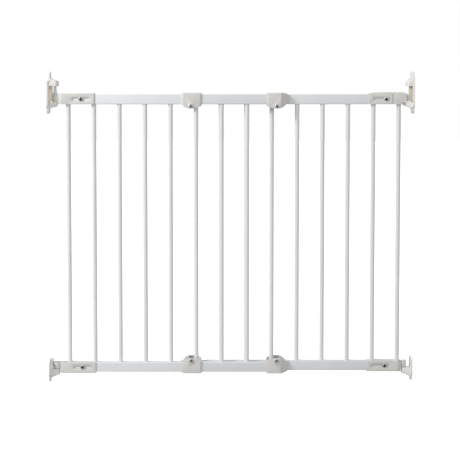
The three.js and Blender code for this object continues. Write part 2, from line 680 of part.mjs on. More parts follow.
// webReach is how far from the wall the web behind the knuckle comes, or 0 where there is none.
function bottomBracketGeometry(webReach) {
  const lowerHole = EAR_RADIUS;
  const upperHole = BOTTOM_PLATE_TOP - BOTTOM_HOLE_DROP;
  const holeY = PLATE_HALF - BOTTOM_HOLE_INSET;
  const parts = [
    throughWidth(bottomPlateOutline(lowerHole), -WALL_X, PLATE_FACE),
    tongue(SHELF_TOP, SHELF_ROOT_TALL, SHELF_TIP_TALL),
  ];
  if (webReach) {
    parts.push(block(
      PLATE_ROOT, webReach - WALL_X, -WEB_HALF, WEB_HALF, SHELF_TOP - 1, BOTTOM_PLATE_TOP));
  }
  return geometryOf(cut(
    union(...parts),
    bushBore(0, SHELF_TOP + 1),
    wallHole(0, lowerHole, PLATE_FACE),
    wallHole(-holeY, upperHole, PLATE_FACE),
    wallHole(holeY, upperHole, PLATE_FACE),
  ));
}

// A thin pad between a top bracket's arms, with an upright rib behind the pin.
function linerGeometry() {
  const half = UPPER_ARM_DEEP / 2;
  const low = LOWER_ARM_TOP + LINER_LIFT;
  const sheet = block(PLATE_FACE, PLATE_FACE + LINER_THICK, -half, half, low, UPPER_ARM_UNDERSIDE);
  const rib = block(
    PLATE_FACE, LINER_RIB_REACH - WALL_X, LINER_RIB_FRONT, LINER_RIB_REAR, low, UPPER_ARM_UNDERSIDE);
  return geometryOf(union(sheet, rib));
}

// ---------- assembly ----------
// One panel: rails, bars, the two clamps at its inner end and the adjuster screws at its outer end.
// A panel that is then turned to face the rear has its screw heads at +Y, so that they end up in front.
function panel(side, fitting, adjusterX, headsToRear) {
  const facing = (geometry, middleY) => (headsToRear ? mirrored(geometry, "y", middleY) : geometry);
  const group = new THREE.Group();
  const add = (name, geometry, look) => group.add(named(name, geometry, look));
  const rail = railGeometry();
  add(`${side}_top_rail`, rail, powderCoat);
  add(`${side}_bottom_rail`, toBottom(rail), powderCoat);
  const bar = barGeometry();
  for (let i = 0; i < BAR_COUNT; i += 1) {
    const mesh = named(`${side}_bar_${i + 1}`, bar, powderCoat);
    mesh.position.set(FRONT_RAIL_START + FIRST_BAR_INSET + i * BAR_PITCH, -PANEL_Y, 0);
    group.add(mesh);
  }
  const pairs = [
    [`${side}_clamp`, clampGeometry(headsToRear ? -1 : 1), plastic],
    [`${side}_clamp_screw`, facing(crossScrewGeometry(), 0), zinc],
    [`${side}_clamp_nut`, facing(crossNutGeometry(), 0), zinc],
    [`${fitting}_adjuster_screw`, facing(adjusterScrewGeometry(adjusterX), -PANEL_Y), zinc],
  ];
  for (const [name, geometry, look] of pairs) {
    add(`${name}_top`, geometry, look);
    add(`${name}_bottom`, toBottom(geometry), look);
  }
  return group;
}

function hingeSide() {
  const group = new THREE.Group();
  const topKnuckle = [KNUCKLE_BOTTOM, KNUCKLE_TOP];
  const bottomKnuckle = [RAIL_UNDER, 2 * MID_HEIGHT - SHELF_KNUCKLE_BOTTOM];
  const common = { length: HINGE_SLEEVE_LENGTH, roof: SLEEVE_ROOF, bored: true, sliderSeat: false };
  const top = fittingGeometry({ ...common, knuckle: topKnuckle });
  const bottom = toBottom(
    fittingGeometry({ ...common, knuckle: bottomKnuckle, radius: WIDE_KNUCKLE_RADIUS }));
  group.add(named("hinge_fitting_top", top, plastic));
  group.add(named("hinge_fitting_bottom", bottom, plastic));
  group.add(named("hinge_pin_top", topPinGeometry(), powderCoat));
  group.add(named("hinge_pin_bottom", bottomPinGeometry(), zinc));
  group.add(named("hinge_bush_top", bushGeometry(LOWER_ARM_TOP, TOP_BUSH_DEPTH), nylon));
  group.add(named("hinge_bush_bottom", bushGeometry(SHELF_TOP, BOTTOM_BUSH_DEPTH), nylon));
  return group;
}

function latchSide() {
  const group = new THREE.Group();
  group.rotation.z = Math.PI;
  const topKnuckle = [KNUCKLE_BOTTOM, RAIL_TOP]; // low enough to pass under the slider's nose
  const bottomKnuckle = [RAIL_UNDER, 2 * MID_HEIGHT - SHELF_KNUCKLE_BOTTOM];
  const common = { length: LATCH_SLEEVE_LENGTH, bored: false };
  const top = fittingGeometry(
    { ...common, roof: LATCH_SLEEVE_ROOF, knuckle: topKnuckle, sliderSeat: true });
  const bottom = toBottom(fittingGeometry(
    { ...common, roof: SLEEVE_ROOF, knuckle: bottomKnuckle, sliderSeat: false }));
  group.add(named("latch_fitting_top", mirrored(top, "y", -PANEL_Y), plastic));
  group.add(named("latch_fitting_bottom", mirrored(bottom, "y", -PANEL_Y), plastic));
  group.add(named("latch_slider", latchSliderGeometry(), plastic));
  return group;
}

function wallBrackets(side, armReach, pinned, webReach) {
  const group = new THREE.Group();
  const bracket = new THREE.Group();
  bracket.position.y = -PANEL_Y;
  bracket.add(named(`${side}_bracket_top`, topBracketGeometry(armReach, pinned), plastic));
  bracket.add(named(`${side}_bracket_bottom`, bottomBracketGeometry(webReach), plastic));
  bracket.add(named(`${side}_bracket_liner`, linerGeometry(), liner));
  group.add(bracket);
  return group;
}

function gate() {
  const whole = new THREE.Group();
  const webReach = HINGE_WALL_DISTANCE - WIDE_KNUCKLE_RADIUS - 2 * RUNNING_GAP;
  whole.add(panel("front", "hinge", HINGE_ADJUSTER_X, false));
  const rear = panel("rear", "latch", FRONT_RAIL_START + LATCH_ADJUSTER_INSET, true);
  rear.rotation.z = Math.PI;
  rear.position.x = 2 * HALF_TURN_X;
  whole.add(rear);
  whole.add(hingeSide());
  whole.add(latchSide());
  whole.add(wallBrackets("hinge", HINGE_ARM_REACH, true, webReach));
  const latchBrackets = wallBrackets("latch", LATCH_ARM_REACH, false, 0);
  latchBrackets.rotation.z = Math.PI;
  whole.add(latchBrackets);
  return whole;
}

export default gate();
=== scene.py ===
# A wall-mounted safety gate: two overlapping barred panels, end fittings, clamps and wall brackets.
import json
import math

import bmesh
import bpy
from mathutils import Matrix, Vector

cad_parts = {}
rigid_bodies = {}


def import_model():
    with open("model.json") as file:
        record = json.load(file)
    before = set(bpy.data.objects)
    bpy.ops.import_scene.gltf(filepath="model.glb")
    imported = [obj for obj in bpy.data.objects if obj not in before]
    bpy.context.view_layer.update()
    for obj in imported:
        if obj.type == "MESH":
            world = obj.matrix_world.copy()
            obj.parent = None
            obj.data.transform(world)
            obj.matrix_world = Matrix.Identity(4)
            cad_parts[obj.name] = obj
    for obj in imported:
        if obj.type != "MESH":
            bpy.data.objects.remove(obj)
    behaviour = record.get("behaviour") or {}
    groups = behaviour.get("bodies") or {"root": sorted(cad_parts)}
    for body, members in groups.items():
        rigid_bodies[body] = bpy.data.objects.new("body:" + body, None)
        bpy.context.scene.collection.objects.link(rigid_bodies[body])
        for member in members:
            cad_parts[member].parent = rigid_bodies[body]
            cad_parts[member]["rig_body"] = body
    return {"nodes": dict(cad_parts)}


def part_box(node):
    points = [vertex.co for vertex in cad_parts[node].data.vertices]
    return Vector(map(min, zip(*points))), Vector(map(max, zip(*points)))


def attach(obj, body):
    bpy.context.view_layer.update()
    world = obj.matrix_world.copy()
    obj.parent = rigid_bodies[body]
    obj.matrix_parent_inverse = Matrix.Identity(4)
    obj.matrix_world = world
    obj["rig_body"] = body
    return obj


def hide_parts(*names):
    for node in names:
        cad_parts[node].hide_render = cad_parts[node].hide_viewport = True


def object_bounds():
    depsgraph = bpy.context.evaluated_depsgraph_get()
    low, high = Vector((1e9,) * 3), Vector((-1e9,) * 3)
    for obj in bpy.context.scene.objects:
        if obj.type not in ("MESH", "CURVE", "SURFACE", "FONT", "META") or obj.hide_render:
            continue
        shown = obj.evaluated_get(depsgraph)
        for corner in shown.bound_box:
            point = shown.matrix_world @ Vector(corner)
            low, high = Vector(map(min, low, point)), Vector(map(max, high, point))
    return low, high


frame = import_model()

cad_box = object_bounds()
MM = 0.001

# ---------- camera and light, metres and watts ----------
CAMERA_HEIGHT = 0.72
CAMERA_DISTANCE = 2.9  # from the panels' plane
CAMERA_X = -0.0025
CAMERA_SHIFT = 0.15  # as a share of the frame's width; it keeps the uprights nearly parallel
FRAME_WIDTH = 1.14  # what the view takes in at the panels
SENSOR = 36.0  # mm
VIEW_CENTRE_HEIGHT = 0.3812
AMBIENT = 0.5  # the background's strength for everything but the camera
KEY_PLACE = (-2.2, -1.2, 2.1)
KEY_AIM = (-0.1, 0, 0.4)
KEY_SIZE = 0.7
KEY_POWER = 64.0
FILL_PLACE = (1.2, -2.2, 1.8)
FILL_AIM = (0.3, 0, 0.4)
FILL_SIZE = 1.5
FILL_POWER = 13.0
FLOOR_SIZE = 30.0
FLOOR_TONE = 0.55
FLOOR_GLOW = 0.95  # for the camera only

# ---------- sizes that the frame's boxes don't give, mm ----------
PAST = 1.0  # how far a cutter reaches past the face that it cuts
FAR = 20.0  # how far a cutter reaches where it only has to reach far enough
HAIR = 0.01  # keeps two faces, or two arcs' ends, from meeting exactly
RUNNING_GAP = 0.3

RAIL_WALL = 1.2
RAIL_CORNER = 2.2
BAR_RADIUS = 5.5
BAR_WALL = 1.0
BEAD_FLAT = 0.7
BEAD_SHOULDER = ((0.12, 1.2), (0.45, 1.8))  # in from the bead's radius, and up from its foot
BEAD_TOE = ((0.12, 2.6), (0.0, 3.6))  # out from the bar's radius, and up from its foot

SCREW_RADIUS = 2.5
HEAD_THICK = 2.4
HEAD_DOME = ((1.6, 0.0), (0.7, 0.15), (0.2, 0.55), (0.0, 1.0))  # in from its radius, back from its crown
HEAD_CHAMFER = 0.2
SHANK_CHAMFER = 0.6
CROSS_HEAD_RADIUS = 5.0
CROSS_HEAD_PROUD = 0.7  # how far the drawn head stands out past the CAD one
CROSS_HEAD_SEAT = 1.7  # from the CAD head's crown to the drawn head's seat
CROSS_RECESS_HALF = 3.3
CROSS_RECESS_SLOT_HALF = 0.8
CROSS_RECESS_DEEP = 2.6
CROSS_RECESS_TURN = 28  # degrees
ADJUSTER_HEAD_RADIUS = 5.2
SOCKET_RADIUS = 3.5
SOCKET_DEEP = 1.8
NUT_RADIUS = 4.6
NUT_CHAMFER_RADIUS = 4.0
NUT_CHAMFER = 0.5

CLAMP_CORNER = 3.6
CLAMP_SHOULDER = 2.8
CLAMP_EAR_DROP = 4.4  # below the rail's underside, at the ear's inner end
CLAMP_NOSE_DROP = 5.0  # below the rail's top, at the nose's tip
CLAMP_NOSE_LONG = 8.0
CLAMP_NOSE_DEEP = 7.0
CLAMP_BEVEL_LONG = 3.5
CLAMP_BEVEL_DEEP = 2.5
CLAMP_FACE_END = 9.0  # this and the next five are measured from the cross screw
CLAMP_ROOF_END = 10.0
CLAMP_FAR_EAR_END = 17.0
CLAMP_LOBE_START = 13.0
CLAMP_LOBE_BULGE = 15.0
CLAMP_LOBE_END = 22.5
CLAMP_BOSS_RADIUS = 7.4
CLAMP_BOSS_LIFT = 1.5
CLAMP_BOSS_PROUD = 0.7
NUT_POCKET_RADIUS = 5.0
NUT_POCKET_DEEP = 1.5
NOSE_HOLLOW_START = 2.5  # this and the next are measured from the running gap at the rail's end
NOSE_HOLLOW_END = 9.0
NOSE_HOLLOW_FRONT_WALL = 3.4
NOSE_HOLLOW_INSET = 3.0  # from the panels' parting plane, and below the rail's top

SLEEVE_WALL = 2.4
SLOT_LENGTH = 46.0
SLOT_INSET = 10.5
SLOT_TALL = 11.0
SHANK_SLOT_TALL = 6.0
SHANK_SLOT_INSET = 2.5
KNUCKLE_RADIUS = 6.25
NECK_LONG = 8.0
NECK_HALF = 4.6
NECK_INSET = 0.4  # above and below, from the knuckle's ends
NECK_MOUTH_HALF = 5.6
DRAW_IN_LONG = 10.0
DRAW_IN_BEND = 4.0
FITTING_CROWN = 2.6
FITTING_CORNER = 2.0
ARCH_FOOT = 1.2  # above the rail, at the sleeve's open end
ARCH_LONG = 42.0
ARCH_BEND = 14.0
SEAT_WALL = 1.2  # what is left of the sleeve under the slider
HINGE_KNUCKLE_RISE = 2.0  # above the rail

SLIDER_NOSE = 9.5
SLIDER_TRAVEL = 4.0
SLIDER_NOSE_LIFT = 2.0
SLIDER_CROWN = 3.4
SLIDER_WALL = 1.2
SLIDER_UNDER_ROOF = 1.8  # above the rail
SLIDER_SIDE_INSET = 1.5
SLIDER_TIP_ROUND = 1.3
SLIDER_BROW = 6.0  # below the top, at the nose's tip
SLIDER_BROW_LONG = 4.0  # from the nose's root to where the roof is flat
SLIDER_NOSE_RISE = 0.6  # of the nose's underside, towards its tip
GRIP_GROOVES = 3
GRIP_FIRST = 5.0
GRIP_PITCH = 4.0
GRIP_HALF = 6.0
GROOVE_RADIUS = 1.1
GROOVE_LIFT = 0.55  # from the slider's top to the groove's middle

PIN_RADIUS = 3.5
PIN_TIP = 1.0
PIN_FOOT_CHAMFER = 0.6
PIN_FOOT_EDGE = 0.4
PIN_FLARE = 13.0
PIN_HEAD_THICK = 1.2
PIN_HEAD_CHAMFER = 0.5
BUSH_RADIUS = 4.8
BUSH_FLANGE = 1.5
BUSH_CHAMFER = 0.3
BUSH_FLANGE_EDGE = 0.2

PLATE_THICK = 4.0
EAR_RADIUS = 12.0
UPPER_EAR_THICK = 8.5
LOWER_EAR_THICK = 6.0
EAR_BLEND = 14.0  # how far from an ear's middle the top plate's side starts to turn
EAR_BEND = 5.0
SHELF_EAR_BLEND = 10.0
SHELF_EAR_BEND = 4.0
SHELF_CORNER = 6.0
UPPER_EAR_RISE = 12.0  # from the upper arm's underside to where the ear thickens
LOWER_EAR_DROP = 8.0  # the same for the lower one, from the lower arm's top
BUSH_HOLE_RADIUS = 5.1
LATCH_ARM_REACH = 19.0  # from the wall
ARM_HALF = 18.0
ARM_CORNER = 5.5
ARM_FACE_TALL = 9.0
ARM_BROW = 13.5
ARM_TALL = 22.0
TONGUE_HALF = 6.7
TONGUE_ROOT = 15.0
TONGUE_TIP = 8.0
TONGUE_HEEL = 4.0  # how much deeper it gets inside the plate
SHELF_TONGUE_ROOT = 22.0
SHELF_TONGUE_TIP = 13.75
WEB_HALF = 6.5
LINER_THICK = 1.5
LINER_CORNER = 1.5
LINER_RIB = (0.5, 6.5)  # the rib's Y, from the bracket's middle
LINER_RIB_ROOT = 0.5
WALL_HOLE_RADIUS = 2.6
COUNTERSINK = 2.4
SHELF_HOLE_INSET = 9.0
SHELF_HOLE_DROP = 11.0


# ---------- mesh helpers, in mm ----------
MERGE_DISTANCE = 2e-6  # m
FLAT_ANGLE = 0.4  # degrees; faces that turn less than this are joined
HARD_ANGLE = 32  # degrees; edges that turn more than this are rounded
SHARP_ANGLE = 38  # degrees; edges that still turn more than this are shaded sharp


def box_mm(node):
    """Lowest and highest corner of a CAD node in mm."""
    low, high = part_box(node)
    return [1000 * c for c in low], [1000 * c for c in high]


def middle(node):
    """The middle of a CAD node's box in mm."""
    low, high = box_mm(node)
    return [(a + b) / 2 for a, b in zip(low, high)]


def make(name, points, faces):
    mesh = bpy.data.meshes.new(name)
    mesh.from_pydata([Vector(p) * MM for p in points], [], faces)
    obj = bpy.data.objects.new(name, mesh)
    bpy.context.scene.collection.objects.link(obj)
    work = bmesh.new()
    work.from_mesh(mesh)
    bmesh.ops.recalc_face_normals(work, faces=work.faces)
    work.to_mesh(mesh)
    work.free()
    return obj


AXES = {"X": (1, 2, 0), "Y": (0, 2, 1), "Z": (0, 1, 2)}


def prism(outline, axis, low, high, name="tool"):
    """An outline in the two other axes, raised from low to high along axis."""
    first, second, along = AXES[axis]
    points = []
    for level in (low, high):
        for a, b in outline:
            point = [0, 0, 0]
            point[first], point[second], point[along] = a, b, level
            points.append(point)
    count = len(outline)
    sides = [(i, (i + 1) % count, count + (i + 1) % count, count + i) for i in range(count)]
    caps = [tuple(range(count)), tuple(range(2 * count - 1, count - 1, -1))]
    return make(name, points, sides + caps)


def block(x0, x1, y0, y1, z0, z1):
    return prism([(x0, y0), (x1, y0), (x1, y1), (x0, y1)], "Z", z0, z1)


def arc(centre, radius, start, end, steps=10):
    """Points on an arc between two angles in degrees, both ends included."""
    points = []
    for i in range(steps + 1):
        angle = math.radians(start + (end - start) * i / steps)
        points.append((centre[0] + radius * math.cos(angle), centre[1] + radius * math.sin(angle)))
    return points


def curve_through(start, control, end, steps=10):
    """Points on a quadratic curve, its start left out."""
    points = []
    for i in range(1, steps + 1):
        t = i / steps
        a, b, c = (1 - t) ** 2, 2 * t * (1 - t), t * t
        points.append(tuple(a * p + b * q + c * r for p, q, r in zip(start, control, end)))
    return points


def rounded(x0, x1, y0, y1, corner, steps=8):
    """A rectangle with round corners."""
    return (
        arc((x1 - corner, y0 + corner), corner, -90, 0, steps)
        + arc((x1 - corner, y1 - corner), corner, 0, 90, steps)
        + arc((x0 + corner, y1 - corner), corner, 90, 180, steps)
        + arc((x0 + corner, y0 + corner), corner, 180, 270, steps)
    )


def rod(radius, centre, axis, low, high, sides=40):
    """A round bar along axis, or a hexagonal one with six sides."""
    turn = 360 / sides
    outline = arc(centre, radius, 0, 360 - turn, sides - 1)
    return prism(outline, axis, low, high)


def spun(name, profile, centre, axis="Z", sides=40, closed=False):
    """A profile of (radius, height) turned about axis; closed joins its last point to its first."""
    first, second, along = AXES[axis]
    points = []
    rings = []
    for radius, height in profile:
        ring = []
        for i in range(sides if radius > 0 else 1):
            angle = 2 * math.pi * i / sides
            point = [0, 0, 0]
            point[first] = centre[0] + radius * math.cos(angle)
            point[second] = centre[1] + radius * math.sin(angle)
            point[along] = height
            ring.append(len(points))
            points.append(point)
        rings.append(ring)
    pairs = list(zip(rings, rings[1:]))
    if closed:
        pairs.append((rings[-1], rings[0]))
    faces = []
    for lower, upper in pairs:
        for i in range(sides):
            a = lower[i % len(lower)]
            b = lower[(i + 1) % len(lower)]
            c = upper[(i + 1) % len(upper)]
            d = upper[i % len(upper)]
            faces.append(tuple(dict.fromkeys((a, b, c, d))))
    return make(name, points, faces)


def applied(obj):
    """Turns obj's modifiers into its mesh."""
    graph = bpy.context.evaluated_depsgraph_get()
    mesh = bpy.data.meshes.new_from_object(obj.evaluated_get(graph))
    obj.modifiers.clear()
    obj.data = mesh
    return obj


def combine(base, operation, *tools):
    for tool in tools:
        modifier = base.modifiers.new(operation, "BOOLEAN")
        modifier.operation = operation
        modifier.solver = "EXACT"
        modifier.object = tool
        applied(base)
        bpy.data.objects.remove(tool)
    return base


def cut(base, *tools):
    return combine(base, "DIFFERENCE", *tools)


def joined(base, *tools):
    return combine(base, "UNION", *tools)


def kept_in(base, *tools):
    return combine(base, "INTERSECT", *tools)


def mirrored(obj, axis, centre):
    """Mirrors obj's mesh across the plane axis = centre, in mm."""
    k = "XYZ".index(axis)
    for vertex in obj.data.vertices:
        vertex.co[k] = 2 * centre * MM - vertex.co[k]
    obj.data.flip_normals()
    return obj


def half_turned(obj, centre_x):
    """Turns obj's mesh half round about the upright line through x = centre_x, y = 0, in mm."""
    for vertex in obj.data.vertices:
        vertex.co.x = 2 * centre_x * MM - vertex.co.x
        vertex.co.y = -vertex.co.y
    return obj


def soften(obj, width, segments=3):
    """Rounds the hard edges by width in mm, and shades the rest smooth."""
    work = bmesh.new()
    work.from_mesh(obj.data)
    bmesh.ops.remove_doubles(work, verts=work.verts, dist=MERGE_DISTANCE)
    bmesh.ops.dissolve_limit(
        work, angle_limit=math.radians(FLAT_ANGLE), verts=work.verts, edges=work.edges)
    work.to_mesh(obj.data)
    work.free()
    if width:
        modifier = obj.modifiers.new("edges", "BEVEL")
        modifier.width = width * MM
        modifier.segments = segments
        modifier.limit_method = "ANGLE"
        modifier.angle_limit = math.radians(HARD_ANGLE)
        modifier.miter_outer = "MITER_ARC"
        applied(obj)
    for polygon in obj.data.polygons:
        polygon.use_smooth = True
    obj.data.set_sharp_from_angle(angle=math.radians(SHARP_ANGLE))
    return obj


# ---------- materials ----------
NOISE_LOW = 0.3  # most of a noise's values lie between these
NOISE_HIGH = 0.7


def node(tree, kind, **values):
    made = tree.nodes.new(kind)
    for key, value in values.items():
        setattr(made, key, value)
    return made


def new_material(name):
    material = bpy.data.materials.new(name)
    material.use_nodes = True
    tree = material.node_tree
    shader = tree.nodes["Principled BSDF"]
    place = node(tree, "ShaderNodeTexCoord")
    return material, tree, shader, place.outputs["Object"]


def noise(tree, place, scale, detail=3.0, roughness=0.5):
    made = node(tree, "ShaderNodeTexNoise")
    made.inputs["Scale"].default_value = scale
    made.inputs["Detail"].default_value = detail
    made.inputs["Roughness"].default_value = roughness
    tree.links.new(place, made.inputs["Vector"])
    return made.outputs["Fac"]


def spread(tree, factor, low, high, target):
    """Sends factor, stretched to run from low to high, to a number socket."""
    made = node(tree, "ShaderNodeMapRange")
    made.inputs["From Min"].default_value = NOISE_LOW
    made.inputs["From Max"].default_value = NOISE_HIGH
    made.inputs["To Min"].default_value = low
    made.inputs["To Max"].default_value = high
    tree.links.new(factor, made.inputs["Value"])
    tree.links.new(made.outputs["Result"], target)


def tinted(tree, factor, dark, light, target):
    """Sends a colour between dark and light to a colour socket."""
    made = node(tree, "ShaderNodeValToRGB")
    made.color_ramp.elements[0].position = NOISE_LOW
    made.color_ramp.elements[0].color = (*dark, 1)
    made.color_ramp.elements[1].position = NOISE_HIGH
    made.color_ramp.elements[1].color = (*light, 1)
    tree.links.new(factor, made.inputs["Fac"])
    tree.links.new(made.outputs["Color"], target)


def bump(tree, shader, height, strength, distance_mm):
    made = node(tree, "ShaderNodeBump")
    made.inputs["Strength"].default_value = strength
    made.inputs["Distance"].default_value = distance_mm * MM
    tree.links.new(height, made.inputs["Height"])
    tree.links.new(made.outputs["Normal"], shader.inputs["Normal"])


def powder_coat():
    """Satin white powder coat: a faint orange peel and slight unevenness of tone."""
    material, tree, shader, place = new_material("powder_coat")
    tone = noise(tree, place, scale=14)
    tinted(tree, tone, (0.705, 0.725, 0.735), (0.735, 0.752, 0.76), shader.inputs["Base Color"])
    spread(tree, noise(tree, place, 60), 0.34, 0.44, shader.inputs["Roughness"])
    bump(tree, shader, noise(tree, place, 900, 2), 0.25, 0.05)
    shader.inputs["Coat Weight"].default_value = 0.15
    shader.inputs["Coat Roughness"].default_value = 0.2
    return material


def moulded_plastic(name, dark, light, rough=0.46, grain=1400):
    """Injection-moulded plastic with a fine spark-eroded grain."""
    material, tree, shader, place = new_material(name)
    tinted(tree, noise(tree, place, 25), dark, light, shader.inputs["Base Color"])
    spread(tree, noise(tree, place, 90), rough - 0.05, rough + 0.05, shader.inputs["Roughness"])
    bump(tree, shader, noise(tree, place, grain, 2, 0.6), 0.35, 0.04)
    shader.inputs["IOR"].default_value = 1.49
    return material


def zinc_plate():
    """Bright zinc plate with faint blue and straw patches."""
    material, tree, shader, place = new_material("zinc_plate")
    patches = noise(tree, place, scale=160)
    tinted(tree, patches, (0.52, 0.54, 0.58), (0.66, 0.65, 0.61), shader.inputs["Base Color"])
    spread(tree, noise(tree, place, 420), 0.22, 0.38, shader.inputs["Roughness"])
    bump(tree, shader, noise(tree, place, 1500, 2), 0.2, 0.03)
    shader.inputs["Metallic"].default_value = 1.0
    return material


def recess_painted_shade_material():
    """Near-black painted shade for the floor and walls of a driver recess in a zinc screw."""
    material, tree, shader, place = new_material("painted_shade_recess")
    # the near-black colour is painted shade, made a little uneven by a noise
    shade_noise = noise(tree, place, scale=500)
    tinted(tree, shade_noise, (0.006, 0.006, 0.007), (0.016, 0.015, 0.014), shader.inputs["Base Color"])
    shader.inputs["Roughness"].default_value = 0.7
    return material


POWDER = powder_coat()
PLASTIC = moulded_plastic("white_plastic", (0.62, 0.612, 0.585), (0.66, 0.652, 0.625))
BRACKET_PLASTIC = moulded_plastic("bracket_plastic", (0.78, 0.77, 0.745), (0.83, 0.82, 0.795))
# one beige liner in two copies: the hinge side's is painted lighter as if lit, the latch side's painted
# darker as if in shade
LINER_PAINTED_LIT = moulded_plastic("liner_painted_lit", (0.93, 0.85, 0.73), (0.97, 0.91, 0.80), 0.5)
LINER_PAINTED_SHADED = moulded_plastic("beige_liner", (0.58, 0.53, 0.44), (0.64, 0.59, 0.50), 0.5)
NYLON = moulded_plastic("nylon", (0.52, 0.49, 0.38), (0.58, 0.55, 0.44), 0.4, 1000)
ZINC = zinc_plate()
# near-black painted shade for the inside of the screws' recesses
RECESS_PAINTED_SHADE = recess_painted_shade_material()


def finished(obj, cad_node, material, extra=()):
    """Gives a piece its material and puts it in its CAD node's place."""
    obj.data.materials.clear()
    for each in (material, *extra):
        obj.data.materials.append(each)
    obj.name = cad_node + "_piece"
    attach(obj, frame["nodes"][cad_node]["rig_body"])
    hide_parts(cad_node)
    return obj


# ---------- where things are, all from the frame's boxes, mm ----------
RAIL_LOW, RAIL_HIGH = box_mm("front_top_rail")
REAR_END = box_mm("rear_top_rail")[1][0]
PANEL_Y = (RAIL_LOW[1] + RAIL_HIGH[1]) / 2
RAIL_UNDER = RAIL_LOW[2]
RAIL_TOP = RAIL_HIGH[2]
RAIL_MIDDLE = (RAIL_UNDER + RAIL_TOP) / 2
RAIL_HALF_DEEP = (RAIL_HIGH[1] - RAIL_LOW[1]) / 2
MID_HEIGHT = (RAIL_TOP + box_mm("front_bottom_rail")[0][2]) / 2
HALF_TURN_X = (RAIL_LOW[0] + REAR_END) / 2
HINGE_X = middle("hinge_pin_top")[0]
POCKET_HALF = RAIL_HALF_DEEP + RUNNING_GAP


def place_in_pairs(name, build, material, centre_y=0.0, extra=(), mark=None):
    """Makes a panel piece for both panels and both heights from its front top form.

    centre_y is the plane that the rear panel's copy is first mirrored in, so that its screw head ends up
    in front after the half turn; None leaves it as it is.
    """
    for side in ("front", "rear"):
        for end in ("top", "bottom"):
            obj = build(side)
            if side == "rear":
                if centre_y is not None:
                    mirrored(obj, "Y", centre_y)
                half_turned(obj, HALF_TURN_X)
            if end == "bottom":
                mirrored(obj, "Z", MID_HEIGHT)
            cad_node = name(side, end)
            finished(obj, cad_node, material, extra)
            if mark:
                mark(obj)


# ---------- rails and bars ----------
def rail(_side):
    outer = rounded(RAIL_LOW[1], RAIL_HIGH[1], RAIL_LOW[2], RAIL_HIGH[2], RAIL_CORNER)
    inner = rounded(
        RAIL_LOW[1] + RAIL_WALL,
        RAIL_HIGH[1] - RAIL_WALL,
        RAIL_LOW[2] + RAIL_WALL,
        RAIL_HIGH[2] - RAIL_WALL,
        RAIL_CORNER - RAIL_WALL,
    )
    tube = prism(outer, "X", RAIL_LOW[0], RAIL_HIGH[0], "rail")
    bore = prism(inner, "X", RAIL_LOW[0] - PAST, RAIL_HIGH[0] + PAST)
    return soften(cut(tube, bore), width=0.25, segments=2)


def bar(cad_node):
    """A tube with a rolled weld bead at each end where it meets the rails."""
    low, high = box_mm(cad_node)
    centre = ((low[0] + high[0]) / 2, (low[1] + high[1]) / 2)
    bead = (high[0] - low[0]) / 2
    inner = BAR_RADIUS - BAR_WALL
    foot = [(bead, 0.0), (bead, BEAD_FLAT)]
    foot += [(bead - inward, height) for inward, height in BEAD_SHOULDER]
    foot += [(BAR_RADIUS + outward, height) for outward, height in BEAD_TOE]
    profile = [(inner, low[2])]
    profile += [(radius, low[2] + height) for radius, height in foot]
    profile += [(radius, high[2] - height) for radius, height in reversed(foot)]
    profile += [(inner, high[2])]
    return soften(spun("bar", profile, centre, closed=True), width=0)


# ---------- clamps, drawn for the front panel at the top ----------
CROSS_X, _, CROSS_Z = middle("front_clamp_screw_top")
CROSS = (CROSS_X, CROSS_Z)
CLAMP_LOW, CLAMP_HIGH = box_mm("front_clamp_top")


def clamp_plan():
    """Seen from above: rounded inner corners, and a nose that closes over the rail's end."""
    left, right = CLAMP_LOW[0], CLAMP_HIGH[0]
    front, rear = CLAMP_LOW[1], CLAMP_HIGH[1]
    corner = CLAMP_CORNER
    face_end = CROSS_X + CLAMP_FACE_END
    bevel_bend = (face_end + 2, front)
    bevel_end = (face_end + CLAMP_BEVEL_LONG, front + CLAMP_BEVEL_DEEP)
    tip = (right, -RAIL_HIGH[1] - RUNNING_GAP)
    nose_start = (right - CLAMP_NOSE_LONG, tip[1] - CLAMP_NOSE_DEEP)
    nose_bend = (right - 0.5, tip[1] - 3)
    ear_bend = (right - 1, rear)
    points = arc((left + corner, rear - corner), corner, 90, 180, steps=8)
    points += arc((left + corner, front + corner), corner, 180, 270, steps=8)
    points += [(face_end, front)]
    points += curve_through(points[-1], bevel_bend, bevel_end, steps=6)
    points += [nose_start]
    points += curve_through(nose_start, nose_bend, tip, steps=12)
    points += curve_through(tip, ear_bend, (CROSS_X + CLAMP_FAR_EAR_END, rear))
    return points


def clamp_elevation():
    """Seen from the front: a flat roof that dips at the nose, and an ear in a shallow lobe."""
    left, right = CLAMP_LOW[0], CLAMP_HIGH[0]
    roof, lobe = CLAMP_HIGH[2], CLAMP_LOW[2]
    lobe_bend = (CROSS_X + CLAMP_LOBE_BULGE, lobe)
    lobe_end = (CROSS_X + CLAMP_LOBE_END, RAIL_UNDER)
    roof_bend = (right - 2, roof - 0.5)
    points = [(left, RAIL_UNDER - CLAMP_EAR_DROP)]
    points += curve_through(points[-1], (CROSS_X - CLAMP_LOBE_START, lobe), (CROSS_X, lobe))
    points += curve_through(points[-1], lobe_bend, lobe_end, steps=14)
    points += [(right, RAIL_UNDER), (right, RAIL_TOP - CLAMP_NOSE_DROP)]
    points += curve_through(points[-1], roof_bend, (CROSS_X + CLAMP_ROOF_END, roof), steps=16)
    points += [(left, roof)]
    return points


def arched_section(front, rear, low, high, shoulder, steps):
    """Seen along the rail: upright sides under a roof with rounded shoulders."""
    points = [(front, low), (rear, low)]
    points += arc((rear - shoulder, high - shoulder), shoulder, 0, 90, steps)
    points += arc((front + shoulder, high - shoulder), shoulder, 90, 180, steps)
    return points


